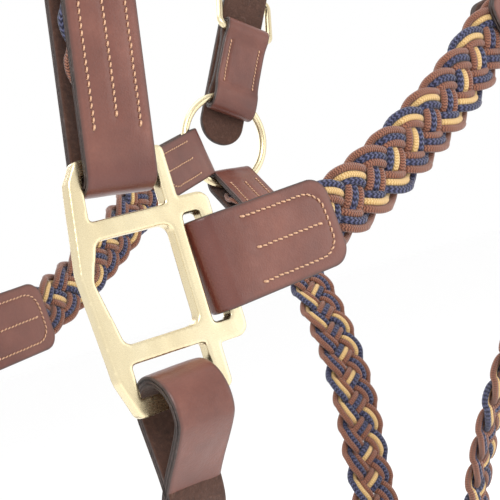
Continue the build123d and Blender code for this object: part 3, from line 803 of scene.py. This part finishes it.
def tabs():
    for (word, side), first_seed in zip(SIDES.items(), (10, 20)):
        for i, (name, node, place, size, sewing) in enumerate(CHEEK_TABS):
            tab(word + name, word + node, place, size, sewing, side, first_seed + i)
    size = (THROAT_TAB_LENGTH, THROAT_TAB_WIDTH)
    far = (FAR_THROAT_START, THROAT_DIR, THROAT_FACE)
    near = (NEAR_THROAT_START, NEAR_DIR, NEAR_FACE)
    tab("far_throatlatch_tab", "far_throat_tab", far, size, SEW_THROAT, FAR, 41)
    tab("near_throatlatch_tab", "near_throat_tab", near, size, SEW_THROAT, NEAR, 42)


# ---- plaits: four strands of three cords ----
BUMP = 12.6
CORD_RADIUS = 1.4
CORD_SPACING = 2.5      # between the cords of one strand, which keep side by side round the turns
PLAIT_HALF = 10.7
CROSS_LIFT = 1.9
MIDDLE_LIFT = 1.1        # how much higher a strand's middle cord is lifted
BEIGE_SIZE = 0.88        # the beige cords are thinner
CORD_SHAPE = (1.04, 0.97)
ANY_PHASE = (0, 6.28)
CORDS = [BROWN, NAVY, BEIGE]
STRANDS = [(NAVY, BEIGE, BROWN), (BROWN, NAVY, BROWN), (BROWN, NAVY, BROWN), (BROWN, BEIGE, NAVY)]


def strand_height(tau):
    """Over and under of a strand with its place in the cycle: over at both outer columns going right."""
    tau = np.mod(tau, 4.0)
    parts = [-np.cos(np.pi * (tau + 0.5)), np.cos(2 * np.pi * (tau - 0.5)),
             np.cos(np.pi * (tau - 1.5)), -np.cos(2 * np.pi * (tau - 2.5))]
    spans = [tau < 0.5, tau < 1.5, tau < 2.5, tau < 3.5]
    height = np.select(spans, parts, -np.cos(np.pi * (tau - 3.5)))
    return np.sign(height) * np.abs(height) ** 0.55


def strand_place(tau):
    """Sideways place from -1 to 1: a wave, so that a strand arches round both edges."""
    return -np.cos(np.mod(tau, 4.0) * math.pi / 2)


def plait(name, line, thickness, across, start_trim, end_trim, side=FAR, replaces=(), seed=1):
    """Twelve cords along a middle line; thickness and across give the plait's directions at each point."""
    rng = np.random.default_rng(seed)
    station = along_line(line)
    y = np.arange(start_trim, station[-1] - end_trim, 0.8)
    centre = table_at(y, station, line)
    up = unit(table_at(y, station, thickness))
    wide = unit(table_at(y, station, across))
    forward = unit(np.gradient(centre, axis=0))
    from_end = np.minimum(np.arange(len(y)), np.arange(len(y))[::-1])
    taper = np.minimum(1.0, 0.35 + from_end / 2.0)
    angles = round_angles(9)
    tubes = Tubes()
    for k, strand in enumerate(STRANDS):
        tau = y / BUMP - k
        middle = -strand_place(tau) * (PLAIT_HALF - CORD_SPACING)
        slope = np.gradient(middle, y)
        for a, cord in zip((-1, 0, 1), strand):
            shift = a * CORD_SPACING / np.sqrt(1 + slope ** 2)
            lift = CROSS_LIFT * strand_height(tau) * (MIDDLE_LIFT if a == 0 else 1.0)
            slow = 0.18 * np.sin(y / 17.0 + rng.uniform(*ANY_PHASE))
            wobble = slow + 0.1 * np.sin(y / 5.3 + rng.uniform(*ANY_PHASE))
            path = centre + wide * (middle + shift + wobble)[:, None] + up * lift[:, None]
            path -= forward * (shift * slope)[:, None]
            ahead = unit(np.gradient(path, axis=0))
            right = unit(np.cross(ahead, up))
            radius = CORD_RADIUS * (BEIGE_SIZE if cord is BEIGE else 1.0) * taper
            ring = oval_rings(path, right, np.cross(right, ahead), radius, CORD_SHAPE, angles)
            length = along_line(path)[:, None]
            uv = np.stack(np.broadcast_arrays(length, angles[None] / (2 * math.pi), 0.0), axis=-1)
            tubes.add(ring, CORDS.index(cord), uv.reshape(-1, 3))
    tubes.make(name, CORDS, "cord_uv", side=side, slot="cord", replaces=replaces)


CHEEK_ROUTE = [(36.0, 1.55), (80.0, 4.85), (150.0, 37.5), (176.5, 57.25), (208.0, 64.5)]


def flat_directions(line, plane_normal, lean=0.0):
    """Across and thickness directions of a band that follows a plane curve."""
    ahead = unit(np.gradient(line, axis=0))
    in_plane = np.cross(ahead, plane_normal)
    across = plane_normal * math.cos(lean) + in_plane * math.sin(lean)
    return across, np.cross(across, ahead)


def cheek_plaits():
    line = np.array([on_side(x, z, -0.56) for x, z in curve_through(CHEEK_ROUTE)])
    across, up = flat_directions(line, OUT, math.pi / 2)
    for word, side in SIDES.items():
        plait(word + "_cheek_braid", line, up, across, 20.0, 2.0, side, [word + "_cheek_plait"], 5 + side)


NOSE_TOP = 152.0


def noseband():
    start = NOSE_TAB_START + NOSE_TAB_DIR * (NOSE_TAB_LENGTH + 1.0)
    leave = NOSE_TAB_START + NOSE_TAB_DIR * (NOSE_TAB_LENGTH + 14.0)
    lean = start[0] / start[2]
    half = [start - NOSE_TAB_DIR * 50.0, leave - NOSE_TAB_DIR * 2.0]
    for inward, above in ((2.0, -22.0), (-6.0, -5.0), (-24.0, 2.0)):
        half.append(vec((NOSE_TOP + above) * lean, leave[1] + inward, NOSE_TOP + above))
    middle = vec((NOSE_TOP + 7.0) * lean, 0, NOSE_TOP + 7.0)
    route = half + [middle] + [p * vec(1, -1, 1) for p in reversed(half)]
    line = curve_through(route)
    normal = unit(vec(1, 0, -lean))
    across, up = flat_directions(line, normal)
    plait("noseband_braid", line, -up, across, 2.0, 2.0, replaces=["noseband_plait"], seed=9)


THROAT_LEAVE = 14.0
OFF_PLANE = THROAT_NORMAL * np.dot(THROAT_SHIFT, THROAT_NORMAL)
THROAT_ROUTE = [(40.0, 106.0), (33.0, 172.0), (27.0, 211.0), (-22.0, 211.0), (-27.0, 176.0), (-44.0, 137.0)]


def throat_point(y, down):
    return vec(THROAT_WIRE_AT[0], y, THROAT_WIRE_AT[2]) + THROAT_DOWN * down + OFF_PLANE


def throatlatch():
    spans = (4.0, THROAT_TAB_LENGTH + THROAT_LEAVE)
    far = [FAR_THROAT_START + THROAT_DIR * along for along in spans]
    near = [(NEAR_THROAT_START + NEAR_DIR * along) * vec(1, -1, 1) for along in reversed(spans)]
    line = curve_through(far + [throat_point(y, down) for y, down in THROAT_ROUTE] + near)
    first = unit(line[1] - line[0])
    lean = math.atan2(np.dot(THROAT_FOLD, np.cross(first, THROAT_NORMAL)), np.dot(THROAT_FOLD, THROAT_NORMAL))
    across, up = flat_directions(line, THROAT_NORMAL, lean)
    plait("throat_braid", line, up, across, 6.0, 6.0, replaces=["throat_plait"], seed=12)


# ---- doubled straps ----
def closed_strap(route, plane, width, thick):
    """A strap round a closed route given in a plane (origin, x, y)."""
    origin, x_dir, y_dir = plane
    flat = curve_through(route, 0.7, closed=True)
    line = origin + flat[:, :1] * x_dir + flat[:, 1:] * y_dir
    area = np.sum(flat[:, 0] * np.roll(flat[:, 1], -1) - np.roll(flat[:, 0], -1) * flat[:, 1])
    ahead = np.roll(flat, -1, 0) - np.roll(flat, 1, 0)
    outward = np.stack([ahead[:, 1], -ahead[:, 0]], axis=1) * (1 if area > 0 else -1)
    out = outward[:, :1] * x_dir + outward[:, 1:] * y_dir
    strap = Strap(line, out, np.cross(x_dir, y_dir), width, thick, closed=True)
    strap.normal[np.sum(strap.normal * out, axis=1) < 0] *= -1
    return strap, flat


def arc(centre, radius, start, end, count=7):
    angles = np.radians(np.linspace(start, end, count))
    return [(centre[0] + radius * math.cos(a), centre[1] + radius * math.sin(a)) for a in angles]


CHIN_LOOP = (0.3, -38.0)
CHIN_LOOP_OUTER = 13.0
CHIN_PINCH = (-9.0, -63.0)
CHIN_WIRE = (-HALF_NOSE / math.cos(YAW) + LEAD_RING_RADIUS, LEAD_RING_LEVEL)
EYELET = 3.8
JAW_HOLLOW = 4.8
JAW_BEND = (80.0, -138.0)
JAW_WIRE = (LEAD_RING_AT[0] + LEAD_RING_RADIUS, LEAD_RING_LEVEL)


def beside(points, offset):
    """The points of a line moved sideways by offset, to its left."""
    points = np.asarray(points, float)
    ahead = unit(np.gradient(points, axis=0))
    return points + np.stack([-ahead[:, 1], ahead[:, 0]], axis=1) * offset


CHIN_ROWS = (-6.6, 6.6)
CHIN_RUN = [CHIN_PINCH, (-13.4, -73.5), (-19.0, -87.5), (-26.0, -104.0), (-32.0, -115.5), (-40.0, -123.5),
            (-49.0, -127.4)]


def as_tuples(points):
    return [tuple(point) for point in points]


def chin_straps():
    plane = (SQUARE_AT - REAR, OUT, UP)
    half = CHIN_LEATHER / 2
    outer = beside(CHIN_RUN, -half)[::-1]
    inner = beside(CHIN_RUN, half)
    loop = arc(CHIN_LOOP, CHIN_LOOP_OUTER - half, 200, -28, 11)
    fold = arc((CHIN_WIRE[0] + 0.2, CHIN_WIRE[1] + 0.4), EYELET + half, 60, 300, 7)
    route = as_tuples(inner[::-1]) + loop + as_tuples(outer[::-1]) + fold[::-1]
    for word, side in SIDES.items():
        strap, flat = closed_strap(route, plane, CHIN_WIDTH, CHIN_LEATHER)
        rows = strap_rows(strap, flat, lambda p: p[1] < -68.0 and p[0] > -52.0, CHIN_ROWS)
        strap.build(word + "_chin_doubled", rows, seed=60 + side, rough=0.2, side=side,
                    replaces=[word + "_chin_strap"])


def jaw_strap():
    hang = spun(THROAT_FOLD, THROAT_NORMAL, math.radians(THROAT_IN - 90.0))
    level = unit(vec(hang[0], 0, hang[2]))
    bottom = throat_point(0, THROAT_ROUTE[2][1])
    tilt = vec(level[0], level[2])
    middle = vec(bottom[0], bottom[2])
    low, high = middle - tilt * 9.0, middle + tilt * 9.0
    if low[0] > high[0]:
        low, high = high, low
    half = JAW_LEATHER / 2
    run = [(JAW_WIRE[0] + 8.0, JAW_WIRE[1] - 0.5), (JAW_WIRE[0] + 22.0, JAW_WIRE[1] - 3.0), JAW_BEND,
           tuple(low - unit(low - vec(*JAW_BEND)) * 9.0)]
    line = curve_through(run, 9.0)
    lift = math.degrees(math.atan2(tilt[1], tilt[0]))
    around = JAW_HOLLOW + half
    under = unit(vec(tilt[1], -tilt[0])) * around
    turn = [tuple(low + under)] + arc(high, around, lift - 80, lift + 80, 5) + [tuple(low - under)]
    ring_fold = arc((JAW_WIRE[0] - 0.7, JAW_WIRE[1] - 0.2), EYELET + half, 100, 260, 6)
    route = as_tuples(beside(line, -half)) + turn + as_tuples(beside(line, half)[::-1]) + ring_fold
    plane = (vec(0, 0, 0), vec(1, 0, 0), UP)
    strap, flat = closed_strap(route, plane, CHIN_WIDTH, JAW_LEATHER)
    rows = strap_rows(strap, flat, lambda p: JAW_WIRE[0] + 9.0 < p[0] < low[0] - 9.0, CHIN_ROWS)
    strap.build("jaw_doubled", rows, seed=66, rough=0.2, replaces=["jaw_strap"])


def strap_rows(strap, flat, wanted, offsets):
    """Rows of stitches along the stretches of a closed strap whose points are wanted."""
    inside = np.array([wanted(p) for p in flat])
    rows, start = [], None
    for i in range(len(flat)):
        if inside[i] and start is None:
            start = i
        if start is not None and (not inside[i] or i == len(flat) - 1):
            if strap.s[i - 1] - strap.s[start] > 8.0:
                rows += [[(strap.s[start], z), (strap.s[i - 1], z)] for z in offsets]
            start = None
    return rows


# ---- crownpiece, its chapes and its lining ----
CHAPE_FOLD = RING_WIRE / 2 + 0.4 + LEATHER / 2
BAR_FOLD = BUCKLE_WIRE / 2 + 0.3 + LEATHER / 2
CROWN_UP = unit(vec(CROWN_DIR[0], 0, CROWN_DIR[2]))
CROWN_LEAN = -CROWN_DIR[1]
CROWN_ACROSS = np.cross(CROWN_DIR, RING_OUT)
CROWN_TIP = RING_AT + RING_OUT * CROWN_OFF - CROWN_DIR * 1.0
CROWN_SHOULDER = CROWN_TIP + CROWN_DIR * CROWN_STRAIGHT
CROWN_COS = np.dot(CROWN_DIR, CROWN_UP)
CROWN_RADIUS = CROWN_SHOULDER[1] / CROWN_COS
CROWN_CENTRE = vec(CROWN_SHOULDER[0], 0, CROWN_SHOULDER[2]) - CROWN_UP * (CROWN_RADIUS * CROWN_LEAN)
CROWN_AXIS = np.cross(vec(0, 1, 0), CROWN_UP)
CROWN_TURN = math.pi - 2 * math.atan(CROWN_LEAN / CROWN_COS)
LINING_WIDTH = 34.0
LINING_THICK = 3.9
LINING_REACH = math.radians(70.0)


def chapes():
    low = RING_RADIUS - 4.6
    half = LEATHER / 2
    route = arc((low, 0), CHAPE_FOLD, 90, 270, 7) + [(low + 7.0, -CHAPE_FOLD), (low + 12.0, -half - 0.2)]
    route += [(BUCKLE_BAR - 14.0, -half), (BUCKLE_BAR - 7.0, -half - 0.3), (BUCKLE_BAR - 2.0, -BAR_FOLD)]
    route += arc((BUCKLE_BAR, 0), BAR_FOLD, -60, 60, 5)
    route += [(x, -y) for x, y in reversed(route[7:12])]
    for word, side in SIDES.items():
        strap, flat = closed_strap(route, (RING_AT, CROWN_DIR, RING_OUT), RING_TAB_WIDTH, LEATHER)
        rows = strap_rows(strap, flat, lambda p: low + 10.5 < p[0] < BUCKLE_BAR - 7.0, (-9.3, 9.3))
        strap.build(word + "_chape", rows, seed=80 + side, side=side, replaces=[word + "_crown_chape"])


def crown_frames():
    """Middle line, out and across directions from the far billet's tip to the near one's, and of the arch."""
    straight = np.arange(0.0, CROWN_STRAIGHT, 1.0)[:, None]
    far = CROWN_TIP + CROWN_DIR * straight
    arm = CROWN_SHOULDER - CROWN_CENTRE
    mirror = vec(1, -1, 1)
    for way in (1, -1):
        angles = way * np.linspace(0, CROWN_TURN, 150)
        arch = np.array([CROWN_CENTRE + spun(arm, CROWN_AXIS, a) for a in angles])
        if np.linalg.norm(arch[-1] - arch[0] * mirror) <= 1.0:
            break
    arch_out = np.array([spun(RING_OUT, CROWN_AXIS, a) for a in angles])
    arch_across = np.array([spun(CROWN_ACROSS, CROWN_AXIS, a) for a in angles])
    line = np.vstack([far, arch, (far * mirror)[::-1]])
    each = (len(far), 1)
    out = np.vstack([np.tile(RING_OUT, each), arch_out, np.tile(RING_OUT * mirror, each)])
    across = np.vstack([np.tile(CROWN_ACROSS, each), arch_across, np.tile(CROWN_ACROSS * mirror, each)])
    return (line, out, across), (arch, arch_out, arch_across)


def crown():
    chapes()
    whole, (arch, out, across) = crown_frames()
    strap = Strap(*whole, CROWN_WIDTH, CROWN_THICK, corner=CROWN_WIDTH / 2 - 0.5)
    first, last = CROWN_STRAIGHT - 12.0, strap.total - CROWN_STRAIGHT + 12.0
    z = CROWN_WIDTH / 2 - 3.6
    rows = [[(first, side * z), (last, side * z)] for side in (-1, 1)]
    punch(strap.build("crownpiece", rows, seed=90, rough=0.15, replaces=["crown_strap"]))
    middle = len(arch) // 2
    count = int(round(LINING_REACH / CROWN_TURN * len(arch) / 2))
    pick = slice(middle - count, middle + count + 1)
    inset = CROWN_THICK / 2 + 2.05
    line = arch[pick] - out[pick] * inset
    lining = Strap(line, -out[pick], across[pick], LINING_WIDTH, LINING_THICK, corner=9.0)
    length = lining.total

    def swell(s, z):
        """Fullest along the middle, and drawn in at both ends."""
        ends = smooth_step(s / 9.0) * smooth_step((length - s) / 9.0)
        return 0.5 * np.cos(z / (LINING_WIDTH / 2) * math.pi / 2) * ends - 0.45

    rows = [u_row_round(length, LINING_WIDTH, 3.4)]
    lining.build("poll_lining", rows, swell, edge_round=1.7, seed=95, rough=0.1,
                 materials=[LINING, EDGE, LINING], slot="lining", replaces=["crown_lining"])


def u_row_round(length, width, inset):
    """A row of stitches all round a pad, open by one stitch."""
    bend = 6.0
    z = width / 2 - inset
    low, high, side = inset + bend, length - inset - bend, z - bend
    turn = [(bend * math.cos(a), bend * math.sin(a)) for a in np.linspace(0, math.pi / 2, 6)]
    points = [(length / 2, z), (high, z)] + [(high + b, side + a) for a, b in turn[1:]]
    points += [(high + a, -side - b) for a, b in turn] + [(low, -z)]
    points += [(low - b, -side - a) for a, b in turn[1:]]
    points += [(low - a, side + b) for a, b in turn] + [(length / 2 - 1.0, z)]
    return points


def cutter(side, step):
    """An oblong tool for one hole of a billet."""
    along = BUCKLE_BAR + HOLE_FROM_BAR + step * HOLE_PITCH
    at = RING_AT + CROWN_DIR * along + RING_OUT * CROWN_OFF
    reach = (HOLE_LONG - HOLE_WIDE) / 2
    flat = arc((reach, 0), HOLE_WIDE / 2, -90, 90, 9) + arc((-reach, 0), HOLE_WIDE / 2, 90, 270, 9)
    points = np.array([at + CROWN_DIR * x + CROWN_ACROSS * y + RING_OUT * h
                       for h in (-4.0, 4.0) for x, y in flat])
    count = len(flat)
    faces = [[i, (i + 1) % count, (i + 1) % count + count, i + count] for i in range(count)]
    faces += [list(range(count))[::-1], list(range(count, 2 * count))]
    if side == NEAR:
        faces = [face[::-1] for face in faces]
    mesh = bpy.data.meshes.new("punch")
    mesh.from_pydata(((points * vec(1, side, 1)) * MM + ORIGIN).tolist(), [], faces)
    mesh.materials.append(EDGE)
    thing = bpy.data.objects.new("punch", mesh)
    bpy.context.scene.collection.objects.link(thing)
    return thing


def punch(thing):
    """Cuts the tools for the billets' oblong holes out of the crownpiece."""
    cutters = [cutter(side, step) for side in (NEAR, FAR) for step in (-1, 0, 1)]
    for tool in cutters:
        cut = thing.modifiers.new("punch", "BOOLEAN")
        cut.operation, cut.object, cut.solver = "DIFFERENCE", tool, "EXACT"
        cut.material_mode = "TRANSFER"
    apply_modifiers(thing)
    for tool in cutters:
        mesh = tool.data
        bpy.data.objects.remove(tool)
        bpy.data.meshes.remove(mesh)


def apply_modifiers(thing):
    bpy.context.view_layer.update()
    evaluated = thing.evaluated_get(bpy.context.evaluated_depsgraph_get())
    mesh = bpy.data.meshes.new_from_object(evaluated)
    old = thing.data
    thing.modifiers.clear()
    thing.data = mesh
    bpy.data.meshes.remove(old)


# ---- brass ----
def cast(node, body, voxel, soften, name, play=0.0):
    """A casting: the node's own shape, rounded and a little uneven, with play in mm taken off all round."""
    source = frame["nodes"][node]
    thing = bpy.data.objects.new(name, source.data.copy())
    bpy.context.scene.collection.objects.link(thing)
    remesh = thing.modifiers.new("cast", "REMESH")
    remesh.mode, remesh.voxel_size, remesh.use_smooth_shade = "VOXEL", voxel * MM, True
    smooth = thing.modifiers.new("soften", "SMOOTH")
    smooth.factor, smooth.iterations = 0.5, soften
    apply_modifiers(thing)
    mesh = thing.data
    count = len(mesh.vertices)
    points, normals = np.zeros(count * 3), np.zeros(count * 3)
    mesh.vertices.foreach_get("co", points)
    mesh.vertices.foreach_get("normal", normals)
    points, normals = points.reshape(-1, 3), normals.reshape(-1, 3)
    move = ruffle((points - ORIGIN) / MM, 9.0, len(node)) * 0.03 * MM - play * MM
    mesh.vertices.foreach_set("co", (points + normals * move[:, None]).ravel())
    # how much painted shade each point gets, from how far it lies in an inside corner
    layer = mesh.attributes.new("hollow_shade", "FLOAT", "POINT")
    layer.data.foreach_set("value", hollows(mesh, points, normals).astype(np.float32))
    mesh.polygons.foreach_set("use_smooth", np.ones(len(mesh.polygons), bool))
    mesh.materials.clear()
    mesh.materials.append(BRASS)
    mesh.update()
    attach(thing, body)
    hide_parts(node)
    return thing


def hollows(mesh, points, normals):
    """How far each point lies in an inside corner, from 0 to 1, from the bend of the surface about it."""
    edges = np.zeros(len(mesh.edges) * 2, np.int32)
    mesh.edges.foreach_get("vertices", edges)
    a, b = edges.reshape(-1, 2).T
    step = points[b] - points[a]
    length = np.maximum(np.linalg.norm(step, axis=1), 1e-9)
    bend_a = np.einsum("ij,ij->i", step, normals[a]) / length
    bend_b = -np.einsum("ij,ij->i", step, normals[b]) / length
    total, number = np.zeros(len(points)), np.zeros(len(points))
    np.add.at(total, a, bend_a)
    np.add.at(total, b, bend_b)
    np.add.at(number, a, 1)
    np.add.at(number, b, 1)
    value = total / np.maximum(number, 1)
    for _ in range(4):
        spread = np.zeros(len(points))
        np.add.at(spread, a, value[b])
        np.add.at(spread, b, value[a])
        value = 0.4 * value + 0.6 * spread / np.maximum(number, 1)
    return np.clip(value * 6.0, 0, 1)


CASTINGS = [("nose_square", None, 0.42, 9), ("cheek_ring", "ring", 0.5, 3), ("buckle_frame", None, 0.4, 3),
            ("buckle_tongue", "tongue", 0.3, 3)]    # node, body, voxel size in mm, rounds of smoothing


def castings():
    for word in SIDES:
        for node, body, voxel, soften in CASTINGS:
            where = f"{word}_{body}" if body else "head_straps"
            cast(f"{word}_{node}", where, voxel, soften, f"{word}_{node}_brass")
    cast("lead_ring", "lead_ring_body", 0.5, 3, "lead_ring_brass")
    cast("snap_body", "snap", 0.3, 3, "snap_body_brass", play=0.16)
    cast("snap_bolt", "snap_bolt_body", 0.25, 3, "snap_bolt_brass")
    cast("snap_swivel_eye", "head_straps", 0.3, 3, "snap_swivel_brass", play=0.2)


# ---- camera, light and floor ----
VIEW_YAW = math.radians(45.3)
VIEW_RISE = math.radians(-1.3)
VIEW_ROLL = math.radians(16.8)
CAMERA_DISTANCE = 350.0
LENS_MM = 84.0
AIM = vec(0, -HALF_NOSE, 0)
AIM_SLOPE = (-0.08569, -0.029991)    # where the near square's middle lies, right and up of the view's axis
FLOOR_DROP = 0.16
FLOOR_HALF = 12.0


def camera():
    """A three-quarter view of the near side from the front, a little below level, with the camera rolled."""
    view = vec(math.sin(VIEW_YAW), math.cos(VIEW_YAW), 0) * math.cos(VIEW_RISE) - UP * math.sin(VIEW_RISE)
    level = vec(math.cos(VIEW_YAW), -math.sin(VIEW_YAW), 0)
    above = np.cross(level, view)
    right = level * math.cos(VIEW_ROLL) - above * math.sin(VIEW_ROLL)
    up = level * math.sin(VIEW_ROLL) + above * math.cos(VIEW_ROLL)
    place = AIM - (view + right * AIM_SLOPE[0] + up * AIM_SLOPE[1]) * CAMERA_DISTANCE
    data = bpy.data.cameras.new("camera")
    data.lens, data.sensor_width = LENS_MM, 36.0
    data.clip_start, data.clip_end = 0.01, 50.0
    thing = bpy.data.objects.new("camera", data)
    bpy.context.scene.collection.objects.link(thing)
    place = place * MM + ORIGIN
    rows = [(right[i], up[i], -view[i], place[i]) for i in range(3)]
    thing.matrix_world = Matrix(rows + [(0, 0, 0, 1)])
    bpy.context.scene.camera = thing


SOFTBOXES = [    # name, place from the object's middle, size and power
    ("key", vec(-0.75, -0.95, 0.75), (0.9, 0.7), 9.0),
    ("fill", vec(0.9, -1.1, -0.1), (0.8, 1.1), 2.5),
    ("top", vec(0.1, 0.2, 1.3), (1.0, 1.0), 5.0),
    ("back", vec(0.4, 1.3, 0.5), (0.9, 0.9), 4.0),
]


def softbox(name, offset, size, power):
    """A white area light that points at the object."""
    data = bpy.data.lights.new(name, "AREA")
    data.shape, data.size, data.size_y = "RECTANGLE", size[0], size[1]
    data.energy = power
    thing = bpy.data.objects.new(name, data)
    bpy.context.scene.collection.objects.link(thing)
    thing.location = ORIGIN + offset
    thing.rotation_euler = Vector(offset).to_track_quat("Z", "Y").to_euler()


def studio():
    world = bpy.data.worlds.new("studio")
    bpy.context.scene.world = world
    world.use_nodes = True
    background = world.node_tree.nodes["Background"]
    background.inputs["Color"].default_value = (1.0, 1.0, 1.0, 1.0)
    background.inputs["Strength"].default_value = 1.0
    bpy.context.scene.view_settings.view_transform = "Standard"
    for light in SOFTBOXES:
        softbox(*light)


def floor():
    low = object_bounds()[0][2] - FLOOR_DROP
    corners = [(x * FLOOR_HALF, y * FLOOR_HALF, low) for x, y in ((-1, -1), (1, -1), (1, 1), (-1, 1))]
    mesh = bpy.data.meshes.new("floor")
    mesh.from_pydata(corners, [], [(0, 1, 2, 3)])
    material, n = new_material("studio_floor")
    n.finish((0.99, 0.99, 0.99, 1.0), None, 0.9)
    mesh.materials.append(material)
    thing = bpy.data.objects.new("floor", mesh)
    bpy.context.scene.collection.objects.link(thing)
    thing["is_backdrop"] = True


def main():
    tabs()
    cheek_plaits()
    noseband()
    throatlatch()
    chin_straps()
    jaw_strap()
    crown()
    castings()
    camera()
    studio()
    floor()


main()
